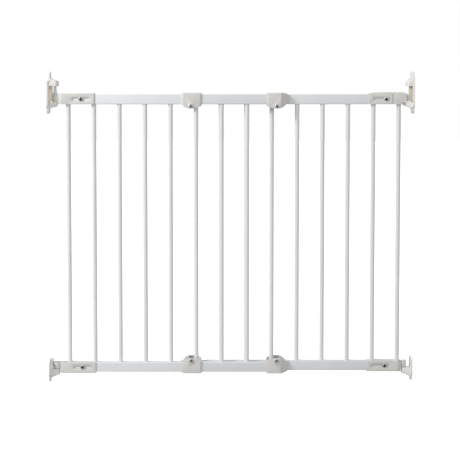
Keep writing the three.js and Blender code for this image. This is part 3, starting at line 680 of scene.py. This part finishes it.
def clamp(side):
    """A channel over both panels' rails, with a boss for the screw's head and a nut's pocket."""
    nut_side = 1 if side == "front" else -1  # before the rear panel's half turn
    front, rear = CLAMP_LOW[1], CLAMP_HIGH[1]
    low = CLAMP_LOW[2] - 2 * PAST
    left, right = CLAMP_LOW[0] - PAST, CLAMP_HIGH[0] + PAST
    body = prism(clamp_plan(), "Z", low, CLAMP_HIGH[2] + PAST, "clamp")
    kept_in(body, prism(clamp_elevation(), "Y", front - PAST, rear + PAST))
    section = arched_section(front, rear, CLAMP_LOW[2] - PAST, CLAMP_HIGH[2], CLAMP_SHOULDER, steps=8)
    kept_in(body, prism(section, "X", left, right))
    boss = sorted((-nut_side * (rear + CLAMP_BOSS_PROUD), -nut_side * (rear - 2 * PAST)))
    joined(body, rod(CLAMP_BOSS_RADIUS, (CROSS_X, CROSS_Z + CLAMP_BOSS_LIFT), "Y", *boss, sides=48))
    pocket = sorted((nut_side * (rear - NUT_POCKET_DEEP), nut_side * (rear + 2 * PAST)))
    roof_inside = RAIL_TOP + RUNNING_GAP
    rear_pocket_front = -RAIL_HIGH[1] - RUNNING_GAP
    rail_end = RAIL_HIGH[0] + RUNNING_GAP
    cut(
        body,
        block(left, rail_end, RAIL_LOW[1], rear_pocket_front + PAST, low - PAST, roof_inside),
        block(left, right, rear_pocket_front, -RAIL_LOW[1] + RUNNING_GAP, low - PAST, roof_inside),
        block(
            rail_end + NOSE_HOLLOW_START,
            rail_end + NOSE_HOLLOW_END,
            RAIL_LOW[1] + NOSE_HOLLOW_FRONT_WALL,
            -NOSE_HOLLOW_INSET,
            low - PAST,
            RAIL_TOP - NOSE_HOLLOW_INSET,
        ),
        rod(SCREW_RADIUS + RUNNING_GAP, CROSS, "Y", front - 3 * PAST, rear + 3 * PAST),
        rod(NUT_POCKET_RADIUS, CROSS, "Y", *pocket, sides=6),
    )
    return soften(body, width=0.45, segments=2)


# ---------- screws and nuts ----------
def head_profile(seat, head_radius, shank_end):
    """A domed cheese head in front of its seat and a shank behind it, along Y."""
    crown = seat - HEAD_THICK
    profile = [(0, crown)]
    profile += [(head_radius - inward, crown + back) for inward, back in HEAD_DOME]
    profile += [(head_radius, seat - HEAD_CHAMFER), (head_radius - HEAD_CHAMFER, seat)]
    profile += [(SCREW_RADIUS, seat), (SCREW_RADIUS, shank_end - SHANK_CHAMFER)]
    profile += [(SCREW_RADIUS - SHANK_CHAMFER, shank_end), (0, shank_end)]
    return profile


def cross_screw(_side):
    """A clamp screw with a cross recess that stands at a slant."""
    low, high = box_mm("front_clamp_screw_top")
    crown = low[1] - CROSS_HEAD_PROUD
    profile = head_profile(low[1] + CROSS_HEAD_SEAT, CROSS_HEAD_RADIUS, high[1])
    body = spun("screw", profile, CROSS, "Y")
    long, short = CROSS_RECESS_HALF, CROSS_RECESS_SLOT_HALF
    recess = block(-long, long, crown - PAST, crown + CROSS_RECESS_DEEP, -short, short)
    joined(recess, block(-short, short, crown - PAST, crown + CROSS_RECESS_DEEP, -long, long))
    turn = math.radians(CROSS_RECESS_TURN)
    for vertex in recess.data.vertices:
        x, z = vertex.co.x, vertex.co.z
        vertex.co.x = x * math.cos(turn) - z * math.sin(turn) + CROSS_X * MM
        vertex.co.z = x * math.sin(turn) + z * math.cos(turn) + CROSS_Z * MM
    return soften(cut(body, recess), width=0)


def adjuster_screw(_side):
    """The screw in a fitting's slot, with a hex socket in its head."""
    low, high = box_mm("hinge_adjuster_screw_top")
    x, _, z = middle("hinge_adjuster_screw_top")
    profile = head_profile(low[1] + HEAD_THICK, ADJUSTER_HEAD_RADIUS, high[1])
    body = spun("screw", profile, (x, z), "Y")
    socket = rod(SOCKET_RADIUS, (x, z), "Y", low[1] - PAST, low[1] + SOCKET_DEEP, sides=6)
    return soften(cut(body, socket), width=0)


def paint_recess_shade(depth_mm, reach_mm):
    """Gives the faces of a screw's recess, those behind its crown and near its middle, the second slot:
    painted shade.
    """
    crown_depth = 0.05

    def mark(obj):
        ys = [v.co.y for v in obj.data.vertices]
        xs = [v.co.x for v in obj.data.vertices]
        zs = [v.co.z for v in obj.data.vertices]
        crown = min(ys)
        centre_x = (min(xs) + max(xs)) / 2
        centre_z = (min(zs) + max(zs)) / 2
        for face in obj.data.polygons:
            c = face.center
            near = math.hypot(c.x - centre_x, c.z - centre_z) < reach_mm * MM
            behind = crown_depth * MM < c.y - crown < depth_mm * MM
            if near and behind:
                # slot 1 is the near-black painted shade
                face.material_index = 1

    return mark


def nut(_side):
    """A hexagonal nut with its outer corners turned off."""
    low, high = box_mm("front_clamp_nut_top")
    hexagon = rod(NUT_RADIUS, CROSS, "Y", low[1], high[1], sides=6)
    around = NUT_RADIUS + 0.1  # just wider than the corners
    profile = [(0, low[1]), (around, low[1]), (around, high[1] - NUT_CHAMFER)]
    profile += [(NUT_CHAMFER_RADIUS, high[1]), (0, high[1])]
    kept_in(hexagon, spun("chamfer", profile, CROSS, "Y"))
    cut(hexagon, rod(SCREW_RADIUS + RUNNING_GAP, CROSS, "Y", low[1] - PAST, high[1] + PAST))
    return soften(hexagon, width=0.12, segments=2)


# ---------- end fittings, drawn for the hinge side at the top ----------
SLEEVE_LOW, SLEEVE_HIGH = box_mm("hinge_fitting_top")
SLEEVE_HALF = (SLEEVE_HIGH[1] - SLEEVE_LOW[1]) / 2
SLEEVE_FRONT = PANEL_Y - SLEEVE_HALF
SLEEVE_REAR = PANEL_Y + SLEEVE_HALF
SLEEVE_START = SLEEVE_LOW[0] + KNUCKLE_RADIUS + NECK_LONG
KNUCKLE_BOTTOM = box_mm("hinge_bush_top")[1][2]
SHELF_KNUCKLE_BOTTOM = box_mm("hinge_bush_bottom")[1][2]
ARM_TOP = KNUCKLE_BOTTOM - BUSH_FLANGE
SHELF_TOP = SHELF_KNUCKLE_BOTTOM - BUSH_FLANGE
HINGE = (HINGE_X, PANEL_Y)
SLIDER_LOW, SLIDER_HIGH = box_mm("latch_slider")
SLIDER_Y = (SLIDER_LOW[1] + SLIDER_HIGH[1]) / 2
SLIDER_HALF = (SLIDER_HIGH[1] - SLIDER_LOW[1]) / 2
SLIDER_BODY_END = SLIDER_HIGH[0] - SLIDER_NOSE


def fitting_plan(end):
    """Seen from above: sides that draw in with a soft curve to the neck."""
    start = SLEEVE_START
    corner = FITTING_CORNER
    mouth_front, mouth_rear = (start, PANEL_Y - NECK_MOUTH_HALF), (start, PANEL_Y + NECK_MOUTH_HALF)
    side_start = start + DRAW_IN_LONG
    bend = start + DRAW_IN_BEND
    points = [mouth_front]
    points += curve_through(mouth_front, (bend, SLEEVE_FRONT), (side_start, SLEEVE_FRONT))
    points += arc((end - corner, SLEEVE_FRONT + corner), corner, -90, 0, steps=6)
    points += arc((end - corner, SLEEVE_REAR - corner), corner, 0, 90, steps=6)
    points += [(side_start, SLEEVE_REAR)]
    points += curve_through(points[-1], (bend, SLEEVE_REAR), mouth_rear)
    return points


def fitting_elevation(end, top, arched):
    """Seen from the front: flat on top, or with a low arch where the slider sits."""
    start = SLEEVE_START
    points = [(start, RAIL_UNDER), (end, RAIL_UNDER)]
    if arched:
        points += [(end, RAIL_TOP + ARCH_FOOT)]
        points += curve_through(points[-1], (end - ARCH_BEND, top), (end - ARCH_LONG, top), steps=16)
    else:
        points += [(end, top)]
    points += [(start, top)]
    return points


def slot_outline(start, end, tall, steps):
    half = tall / 2
    return rounded(start, end, RAIL_MIDDLE - half, RAIL_MIDDLE + half, half - HAIR, steps)


def slot_cutters(sleeve_end):
    """A wide slot that seats the screw's head, and a narrow one behind it for the shank."""
    end = sleeve_end - SLOT_INSET
    start = end - SLOT_LENGTH
    wide = slot_outline(start, end, SLOT_TALL, steps=14)
    narrow = slot_outline(start + SHANK_SLOT_INSET, end - SHANK_SLOT_INSET, SHANK_SLOT_TALL, steps=10)
    return (
        prism(wide, "Y", SLEEVE_FRONT - PAST, SLEEVE_FRONT + SLEEVE_WALL / 2),
        prism(narrow, "Y", SLEEVE_FRONT - PAST, SLEEVE_REAR + PAST),
    )


def slider_seat(seat_end, top):
    """What the slider takes off the sleeve's outside, up to seat_end."""
    around = block(
        SLEEVE_START - 2 * PAST, seat_end, PANEL_Y - FAR, PANEL_Y + FAR, RAIL_UNDER - PAST, top + 3 * PAST)
    core_half = POCKET_HALF + SEAT_WALL
    core = block(
        SLEEVE_START - 3 * PAST,
        seat_end + PAST,
        PANEL_Y - core_half,
        PANEL_Y + core_half,
        RAIL_UNDER - 2 * PAST,
        RAIL_TOP + RUNNING_GAP + SEAT_WALL,
    )
    return cut(around, core)


def fitting(sleeve_end, top, knuckle, radius, bored=True, seat_end=None):
    """A sleeve over a rail end with a neck and a knuckle, and an arch and a seat if seat_end is given."""
    low, high = knuckle
    with_seat = seat_end is not None
    elevation = fitting_elevation(sleeve_end, top, with_seat)
    section = arched_section(
        SLEEVE_FRONT, SLEEVE_REAR, RAIL_UNDER - 2 * PAST, top, FITTING_CROWN, steps=10)
    body = prism(fitting_plan(sleeve_end), "Z", RAIL_UNDER, top + PAST, "fitting")
    kept_in(body, prism(elevation, "Y", PANEL_Y - FAR, PANEL_Y + FAR))
    kept_in(body, prism(section, "X", SLEEVE_START - PAST, sleeve_end + PAST))
    if with_seat:
        cut(body, slider_seat(seat_end, top))
    neck = block(
        HINGE_X,
        SLEEVE_START + 2 * PAST,
        PANEL_Y - NECK_HALF,
        PANEL_Y + NECK_HALF,
        low + NECK_INSET,
        high - NECK_INSET,
    )
    joined(body, neck, rod(radius, HINGE, "Z", low, high, sides=56))
    pocket = block(
        SLEEVE_START + 2 * PAST,
        sleeve_end + PAST,
        PANEL_Y - POCKET_HALF,
        PANEL_Y + POCKET_HALF,
        RAIL_UNDER - PAST,
        RAIL_TOP + RUNNING_GAP,
    )
    cut(body, pocket, *slot_cutters(sleeve_end))
    if bored:
        cut(body, rod(PIN_RADIUS + RUNNING_GAP, HINGE, "Z", low - PAST, high + PAST))
    return soften(body, width=0.5, segments=2)


def knuckle_levels(side, end):
    """A knuckle's lowest and highest level, as it is drawn at the top."""
    if end == "bottom":
        return RAIL_UNDER, 2 * MID_HEIGHT - SHELF_KNUCKLE_BOTTOM
    return KNUCKLE_BOTTOM, RAIL_TOP + (HINGE_KNUCKLE_RISE if side == "hinge" else 0)


def hinge_fitting(end):
    cad_node = "hinge_fitting_" + end
    radius = HINGE_X - box_mm(cad_node)[0][0]
    obj = fitting(SLEEVE_HIGH[0], SLEEVE_HIGH[2], knuckle_levels("hinge", end), radius)
    if end == "bottom":
        mirrored(obj, "Z", MID_HEIGHT)
    finished(obj, cad_node, PLASTIC)


def latch_fitting(end):
    """Like the hinge side's, mirrored and turned half round; no bore, and the slider's seat at the top."""
    cad_node = "latch_fitting_" + end
    arched_low, arched_high = box_mm("latch_fitting_top")
    top = SLEEVE_HIGH[2]
    seat_end = None
    if end == "top":
        top = arched_high[2]
        slider_reach = SLIDER_HIGH[0] - SLIDER_LOW[0] - SLIDER_NOSE + SLIDER_TRAVEL + RUNNING_GAP
        seat_end = SLEEVE_START + slider_reach
    obj = fitting(-arched_low[0], top, knuckle_levels("latch", end), KNUCKLE_RADIUS, False, seat_end)
    mirrored(obj, "Y", PANEL_Y)
    half_turned(obj, 0)
    if end == "bottom":
        mirrored(obj, "Z", MID_HEIGHT)
    finished(obj, cad_node, PLASTIC)


# ---------- the thumb slider, drawn in place ----------
def slider_elevation():
    """Seen from the front: a roof that rounds over the nose, which ends just above the lower arm."""
    left, _, low = SLIDER_LOW
    right, _, top = SLIDER_HIGH
    body_end = SLIDER_BODY_END
    nose_under = ARM_TOP + SLIDER_NOSE_LIFT
    side_end = body_end - SLIDER_SIDE_INSET
    heel = (side_end, low + HAIR)
    nose_root = (body_end + 0.2, nose_under - 2)
    nose_flat = (body_end + 3, nose_under)
    brow_bend = (right - 1, top - 1)
    points = [(left, low - PAST), (side_end, low - PAST), heel]
    points += curve_through(heel, (body_end, low + 3), nose_root, steps=8)
    points += curve_through(nose_root, (body_end + 1, nose_under), nose_flat, steps=6)
    points += [(right, nose_under + SLIDER_NOSE_RISE), (right, top - SLIDER_BROW)]
    points += curve_through(points[-1], brow_bend, (body_end - SLIDER_BROW_LONG, top), steps=14)
    points += [(left, top)]
    return points


def slider_plan():
    """Seen from above: straight sides and a nose with round corners."""
    left, right = SLIDER_LOW[0] - PAST, SLIDER_HIGH[0]
    front, rear = SLIDER_Y - SLIDER_HALF, SLIDER_Y + SLIDER_HALF
    points = [(left, front), (SLIDER_BODY_END, front)]
    points += curve_through(points[-1], (right, front), (right, front + SLIDER_TIP_ROUND), steps=8)
    points += [(right, rear - SLIDER_TIP_ROUND)]
    points += curve_through(points[-1], (right, rear), (SLIDER_BODY_END, rear), steps=8)
    points += [(left, rear)]
    return points


def latch_slider():
    """The saddle that a thumb pulls back, with grip grooves in its roof and a nose over the knuckle."""
    left, _, low = SLIDER_LOW
    right, _, top = SLIDER_HIGH
    front, rear = SLIDER_Y - SLIDER_HALF, SLIDER_Y + SLIDER_HALF
    section = arched_section(front, rear, low, top, SLIDER_CROWN, steps=10)
    body = prism(section, "X", left, right, "slider")
    kept_in(body, prism(slider_elevation(), "Y", SLIDER_Y - FAR, SLIDER_Y + FAR))
    kept_in(body, prism(slider_plan(), "Z", low - 2 * PAST, top + 2 * PAST))
    inner = SLIDER_HALF - SLIDER_WALL
    inside = block(
        left - PAST,
        right + PAST,
        SLIDER_Y - inner,
        SLIDER_Y + inner,
        low - PAST,
        RAIL_TOP + SLIDER_UNDER_ROOF,
    )
    grip = (SLIDER_Y - GRIP_HALF, SLIDER_Y + GRIP_HALF)
    grooves = [
        rod(GROOVE_RADIUS, (left + GRIP_FIRST + GRIP_PITCH * i, top + GROOVE_LIFT), "Y", *grip, sides=20)
        for i in range(GRIP_GROOVES)
    ]
    cut(body, inside, *grooves)
    finished(soften(body, width=0.3, segments=2), "latch_slider", PLASTIC)


# ---------- pins and bushes ----------
PIN_CENTRE = middle("hinge_pin_top")[:2]  # both pins stand on it


def top_pin():
    """The pin in the hinge's top fitting, flared where it leaves the knuckle."""
    low, high = box_mm("hinge_pin_top")
    foot = (high[0] - low[0]) / 2
    rise = RAIL_TOP + HINGE_KNUCKLE_RISE
    profile = [(0, low[2]), (PIN_RADIUS - PIN_FOOT_CHAMFER, low[2])]
    profile += [(PIN_RADIUS, low[2] + PIN_FOOT_CHAMFER), (PIN_RADIUS, rise)]
    profile += [(foot - PIN_FOOT_EDGE / 2, rise), (foot, rise + PIN_FOOT_EDGE)]
    flare_bend = (PIN_RADIUS + 0.5, rise + 4)
    profile += curve_through(profile[-1], flare_bend, (PIN_RADIUS, rise + PIN_FLARE))
    profile += [(PIN_RADIUS, high[2] - PIN_TIP), (PIN_RADIUS - PIN_TIP, high[2]), (0, high[2])]
    obj = soften(spun("pin", profile, PIN_CENTRE), width=0)
    finished(obj, "hinge_pin_top", POWDER)


def bottom_pin():
    """The headed pin in the hinge's bottom fitting."""
    low, high = box_mm("hinge_pin_bottom")
    head = (high[0] - low[0]) / 2
    under_head = high[2] - PIN_HEAD_THICK
    profile = [(0, low[2]), (PIN_RADIUS - PIN_TIP, low[2]), (PIN_RADIUS, low[2] + PIN_TIP)]
    profile += [(PIN_RADIUS, under_head), (head, under_head), (head, high[2] - PIN_HEAD_CHAMFER)]
    profile += [(head - PIN_HEAD_CHAMFER, high[2]), (0, high[2])]
    obj = soften(spun("pin", profile, PIN_CENTRE), width=0)
    finished(obj, "hinge_pin_bottom", ZINC)


def hinge_bush(end):
    """A flanged nylon bush, pressed into a hinge bracket from above."""
    cad_node = "hinge_bush_" + end
    low, high = box_mm(cad_node)
    flange = (high[0] - low[0]) / 2
    inner = PIN_RADIUS + RUNNING_GAP
    seat = high[2] - BUSH_FLANGE
    edge, chamfer = BUSH_FLANGE_EDGE, BUSH_CHAMFER
    profile = [(inner, low[2]), (BUSH_RADIUS - chamfer, low[2]), (BUSH_RADIUS, low[2] + chamfer)]
    profile += [(BUSH_RADIUS, seat), (flange - edge, seat), (flange, seat + edge)]
    profile += [(flange, high[2] - chamfer), (flange - chamfer, high[2])]
    profile += [(inner + chamfer, high[2]), (inner, high[2] - chamfer)]
    obj = soften(spun("bush", profile, middle(cad_node)[:2], closed=True), width=0)
    finished(obj, cad_node, NYLON)


# ---------- wall brackets, drawn for the hinge side ----------
PLATE_LOW, PLATE_HIGH = box_mm("hinge_bracket_top")
SHELF_LOW, SHELF_HIGH = box_mm("hinge_bracket_bottom")
UPPER_ARM_UNDERSIDE = box_mm("hinge_bracket_liner")[1][2]
WALL = PLATE_LOW[0]
PLATE_HALF = (PLATE_HIGH[1] - PLATE_LOW[1]) / 2
PLATE_FRONT = PANEL_Y - PLATE_HALF
PLATE_REAR = PANEL_Y + PLATE_HALF


def ear(height, up):
    """The round end of a plate, from -Y to +Y where it is the upper one, and back for the lower."""
    centre = (PANEL_Y, height)
    return arc(centre, EAR_RADIUS, 180, 0, steps=28) if up else arc(centre, EAR_RADIUS, 0, -180, steps=28)


def lower_end(height, blend, bend):
    """A plate's lower end, from its rear side round the ear to its front side, both left out."""
    points = curve_through(
        (PLATE_REAR, height + blend), (PLATE_REAR - 1, height + bend), (PANEL_Y + EAR_RADIUS, height))
    points += ear(height, False)[1:]
    points += curve_through(
        points[-1], (PLATE_FRONT + 1, height + bend), (PLATE_FRONT, height + blend))[:-1]
    return points


def screw_hole(y, z, thick):
    """A cutter for a wall screw's hole with a countersink in a plate of that thickness."""
    wide = WALL_HOLE_RADIUS + COUNTERSINK
    face = WALL + thick
    out = face + 5 * PAST
    profile = [(0, WALL - PAST), (WALL_HOLE_RADIUS, WALL - PAST), (WALL_HOLE_RADIUS, face - COUNTERSINK)]
    profile += [(wide, face), (wide, out), (0, out)]
    return spun("hole", profile, (y, z), "X")


def tongue(top, root_tall, tip_tall):
    """The short arm that carries a knuckle: a round-ended finger with a rising underside."""
    root = WALL + PAST
    plan = [(root, PANEL_Y - TONGUE_HALF)]
    plan += arc(HINGE, TONGUE_HALF, -90, 90, steps=28)
    plan += [(root, PANEL_Y + TONGUE_HALF)]
    tip = TONGUE_HALF + HINGE_X
    heel, toe = (root, top - root_tall - TONGUE_HEEL), (tip, top - tip_tall)
    bend = (WALL + PLATE_THICK + 1, top - root_tall)
    side = [heel]
    side += curve_through(heel, bend, toe, steps=12)
    side += [(tip, top), (root, top)]
    finger = prism(plan, "Z", -PAST, PLATE_HIGH[2])
    return kept_in(finger, prism(side, "Y", PANEL_Y - FAR, PANEL_Y + FAR))


def upper_arm(reach_from_wall):
    """The deep hood over the fitting, its top sweeping up into the plate."""
    root = WALL + PAST
    reach = WALL + reach_from_wall
    under = UPPER_ARM_UNDERSIDE
    top = under + ARM_TALL
    ear_face = WALL + UPPER_EAR_THICK
    brow_start, brow_end = (reach, under + ARM_FACE_TALL), (reach - 4, under + ARM_BROW)
    brow_bend = (reach - 0.5, under + 12.5)
    sweep_bend, sweep_end = (ear_face + 3, under + 16), (ear_face - 1.5, top)
    side = [(root, under), (reach, under), brow_start]
    side += curve_through(brow_start, brow_bend, brow_end, steps=8)
    side += curve_through(brow_end, sweep_bend, sweep_end, steps=12)
    side += [(root, top)]
    arm = prism(side, "Y", PANEL_Y - ARM_HALF, PANEL_Y + ARM_HALF)
    plan = rounded(WALL - FAR, reach, PANEL_Y - ARM_HALF, PANEL_Y + ARM_HALF, ARM_CORNER, steps=10)
    above = under + 1.5 * FAR
    kept_in(arm, prism(plan, "Z", under - PAST, above))
    return kept_in(arm, block(root, reach + PAST, PANEL_Y - FAR, PANEL_Y + FAR, under - 2 * PAST, above))


def top_plate_outline(upper, lower):
    """A plate with an ear at each end, between the levels of their middles."""
    outline = [(PLATE_FRONT, lower + EAR_BLEND), (PLATE_FRONT, upper - EAR_BLEND)]
    bend = upper - EAR_BEND
    outline += curve_through(outline[-1], (PLATE_FRONT + 1, bend), (PANEL_Y - EAR_RADIUS, upper))
    outline += ear(upper, True)[1:]
    outline += curve_through(outline[-1], (PLATE_REAR - 1, bend), (PLATE_REAR, upper - EAR_BLEND))
    outline += [(PLATE_REAR, lower + EAR_BLEND)]
    outline += lower_end(lower, EAR_BLEND, EAR_BEND)
    return outline


def top_bracket(arm_reach, pinned):
    """A tall bracket with an upper and a lower arm, and with a hole for the pin if pinned."""
    upper = PLATE_HIGH[2] - EAR_RADIUS
    lower = PLATE_LOW[2] + EAR_RADIUS
    body = prism(top_plate_outline(upper, lower), "X", WALL, WALL + UPPER_EAR_THICK, "bracket")
    upper_ear, lower_ear = UPPER_ARM_UNDERSIDE + UPPER_EAR_RISE, ARM_TOP - LOWER_EAR_DROP
    thin_half, ear_half = 1.5 * FAR, 1.5 * FAR + PAST
    cut(
        body,
        block(
            WALL + PLATE_THICK,
            WALL + FAR,
            PANEL_Y - thin_half,
            PANEL_Y + thin_half,
            lower_ear,
            upper_ear,
        ),
        block(
            WALL + LOWER_EAR_THICK,
            WALL + FAR,
            PANEL_Y - ear_half,
            PANEL_Y + ear_half,
            lower_ear - 2 * FAR,
            lower_ear + PAST,
        ),
    )
    joined(body, upper_arm(arm_reach), tongue(ARM_TOP, TONGUE_ROOT, TONGUE_TIP))
    cut(
        body,
        screw_hole(PANEL_Y, upper, UPPER_EAR_THICK),
        screw_hole(PANEL_Y, lower, LOWER_EAR_THICK),
        rod(BUSH_HOLE_RADIUS, HINGE, "Z", PLATE_LOW[2], ARM_TOP + PAST),
    )
    if pinned:
        pin_hole = PIN_RADIUS + 2 * RUNNING_GAP
        cut(body, rod(pin_hole, HINGE, "Z", UPPER_ARM_UNDERSIDE - PAST, PLATE_HIGH[2]))
    return soften(body, width=0.7, segments=2)


def bottom_bracket(web_reach):
    """A short bracket with one arm, and with a web under the knuckle's rear if web_reach isn't 0."""
    lower = SHELF_LOW[2] + EAR_RADIUS
    top = SHELF_HIGH[2]
    corner = SHELF_CORNER
    outline = [(PLATE_FRONT, lower + SHELF_EAR_BLEND)]
    outline += arc((PLATE_FRONT + corner, top - corner), corner, 180, 90)
    outline += arc((PLATE_REAR - corner, top - corner), corner, 90, 0)
    outline += [(PLATE_REAR, lower + SHELF_EAR_BLEND)]
    outline += lower_end(lower, SHELF_EAR_BLEND, SHELF_EAR_BEND)
    body = prism(outline, "X", WALL, WALL + PLATE_THICK, "bracket")
    joined(body, tongue(SHELF_TOP, SHELF_TONGUE_ROOT, SHELF_TONGUE_TIP))
    if web_reach:
        web = block(
            WALL + PAST,
            WALL + web_reach,
            PANEL_Y - WEB_HALF,
            PANEL_Y + WEB_HALF,
            SHELF_TOP - PAST,
            top - HAIR,
        )
        joined(body, web)
    hole_level = top - SHELF_HOLE_DROP
    cut(
        body,
        rod(BUSH_HOLE_RADIUS, HINGE, "Z", 0, SHELF_TOP + PAST),
        screw_hole(PANEL_Y, lower, PLATE_THICK),
        screw_hole(PLATE_FRONT + SHELF_HOLE_INSET, hole_level, PLATE_THICK),
        screw_hole(PLATE_REAR - SHELF_HOLE_INSET, hole_level, PLATE_THICK),
    )
    return soften(body, width=0.6, segments=2)


def bracket_liner():
    """A thin pad between a top bracket's arms, with an upright rib behind the pin."""
    low, high = box_mm("hinge_bracket_liner")
    outline = rounded(low[1], high[1], low[2], high[2], LINER_CORNER, steps=6)
    sheet = prism(outline, "X", low[0], low[0] + LINER_THICK, "liner")
    front, rear = (PANEL_Y + y for y in LINER_RIB)
    rib = block(low[0] + LINER_RIB_ROOT, high[0], front, rear, low[2] + HAIR, high[2] - HAIR)
    return soften(joined(sheet, rib), width=0.35, segments=3)


def wall_brackets():
    """Both sides' brackets; the latch side's are drawn on the hinge side and turned half round."""
    hinge_arm = PLATE_HIGH[0] - WALL
    wide_knuckle = HINGE_X - box_mm("hinge_fitting_bottom")[0][0]
    web = HINGE_X - wide_knuckle - 2 * RUNNING_GAP - WALL
    finished(top_bracket(hinge_arm, True), "hinge_bracket_top", BRACKET_PLASTIC)
    finished(bottom_bracket(web), "hinge_bracket_bottom", BRACKET_PLASTIC)
    # the hinge liner takes the lighter, painted-lit copy of the beige liner colour
    finished(bracket_liner(), "hinge_bracket_liner", LINER_PAINTED_LIT)
    latch_top = half_turned(top_bracket(LATCH_ARM_REACH, False), 0)
    finished(latch_top, "latch_bracket_top", BRACKET_PLASTIC)
    latch_bottom = half_turned(bottom_bracket(0), 0)
    finished(latch_bottom, "latch_bracket_bottom", BRACKET_PLASTIC)
    # the latch liner takes the darker, painted-shade copy of the same beige liner colour
    finished(half_turned(bracket_liner(), 0), "latch_bracket_liner", LINER_PAINTED_SHADED)


# ---------- the gate ----------
place_in_pairs(lambda side, end: f"{side}_{end}_rail", rail, POWDER, None)
for side in ("front", "rear"):
    for number in range(1, 9):
        cad_node = f"{side}_bar_{number}"
        finished(bar(cad_node), cad_node, POWDER)
place_in_pairs(lambda side, end: f"{side}_clamp_{end}", clamp, PLASTIC, None)
# the clamp screws' second slot is near-black painted shade in the cross recess
place_in_pairs(
    lambda side, end: f"{side}_clamp_screw_{end}", cross_screw, ZINC,
    extra=(RECESS_PAINTED_SHADE,), mark=paint_recess_shade(depth_mm=3.6, reach_mm=3.6))
place_in_pairs(lambda side, end: f"{side}_clamp_nut_{end}", nut, ZINC)
# the adjuster screws' second slot is near-black painted shade in the hex socket
place_in_pairs(
    lambda side, end: f"{'hinge' if side == 'front' else 'latch'}_adjuster_screw_{end}",
    adjuster_screw, ZINC, PANEL_Y, (RECESS_PAINTED_SHADE,),
    paint_recess_shade(depth_mm=2.2, reach_mm=3.2))
for end in ("top", "bottom"):
    hinge_fitting(end)
for end in ("top", "bottom"):
    latch_fitting(end)
latch_slider()
top_pin()
bottom_pin()
for end in ("top", "bottom"):
    hinge_bush(end)
wall_brackets()


# ---------- floor, light and camera ----------
def floor():
    """A pale floor that glows for the camera, so that it runs into the white background."""
    material, tree, shader, _ = new_material("floor")
    shader.inputs["Base Color"].default_value = (FLOOR_TONE, FLOOR_TONE, FLOOR_TONE, 1)
    shader.inputs["Roughness"].default_value = 0.9
    shader.inputs["Emission Color"].default_value = (1, 1, 1, 1)
    ray = node(tree, "ShaderNodeLightPath")
    glow = node(tree, "ShaderNodeMath", operation="MULTIPLY")
    glow.inputs[1].default_value = FLOOR_GLOW
    tree.links.new(ray.outputs["Is Camera Ray"], glow.inputs[0])
    tree.links.new(glow.outputs["Value"], shader.inputs["Emission Strength"])
    bpy.ops.mesh.primitive_plane_add(size=FLOOR_SIZE, location=(0, 0, cad_box[0].z))
    plane = bpy.context.object
    plane.name = "floor"
    plane.data.materials.append(material)


def area_light(name, place, aim, size, power):
    light = bpy.data.lights.new(name, "AREA")
    light.shape = "DISK"
    light.size = size
    light.energy = power
    obj = bpy.data.objects.new(name, light)
    obj.location = place
    obj.rotation_euler = (Vector(aim) - Vector(place)).to_track_quat("-Z", "Y").to_euler()
    bpy.context.scene.collection.objects.link(obj)


def studio():
    """A background that looks white and lights weakly, a key from the left and a fill from the right."""
    world = bpy.data.worlds.new("studio")
    bpy.context.scene.world = world
    world.use_nodes = True
    tree = world.node_tree
    seen = tree.nodes["Background"]
    seen.inputs["Color"].default_value = (1, 1, 1, 1)
    seen.inputs["Strength"].default_value = 1.0
    cast = node(tree, "ShaderNodeBackground")
    cast.inputs["Color"].default_value = (1, 1, 1, 1)
    cast.inputs["Strength"].default_value = AMBIENT
    ray = node(tree, "ShaderNodeLightPath")
    chosen = node(tree, "ShaderNodeMixShader")
    tree.links.new(ray.outputs["Is Camera Ray"], chosen.inputs[0])
    tree.links.new(cast.outputs["Background"], chosen.inputs[1])
    tree.links.new(seen.outputs["Background"], chosen.inputs[2])
    tree.links.new(chosen.outputs["Shader"], tree.nodes["World Output"].inputs["Surface"])
    area_light("key", KEY_PLACE, KEY_AIM, KEY_SIZE, KEY_POWER)
    area_light("fill", FILL_PLACE, FILL_AIM, FILL_SIZE, FILL_POWER)


def camera():
    """Looks at the gate's middle: about half of the way down by tilting, and half by the lens's shift."""
    data = bpy.data.cameras.new("camera")
    data.sensor_width = SENSOR
    data.lens = SENSOR * CAMERA_DISTANCE / FRAME_WIDTH
    data.shift_y = -CAMERA_SHIFT
    obj = bpy.data.objects.new("camera", data)
    bpy.context.scene.collection.objects.link(obj)
    front = PANEL_Y * MM
    obj.location = (CAMERA_X, front - CAMERA_DISTANCE, CAMERA_HEIGHT)
    down = math.atan((CAMERA_HEIGHT - VIEW_CENTRE_HEIGHT) / CAMERA_DISTANCE)
    by_shift = math.atan(CAMERA_SHIFT * SENSOR / data.lens)
    obj.rotation_euler = (math.pi / 2 - (down - by_shift), 0, 0)
    bpy.context.scene.camera = obj


floor()
studio()
camera()
bpy.context.scene.view_settings.view_transform = "Standard"
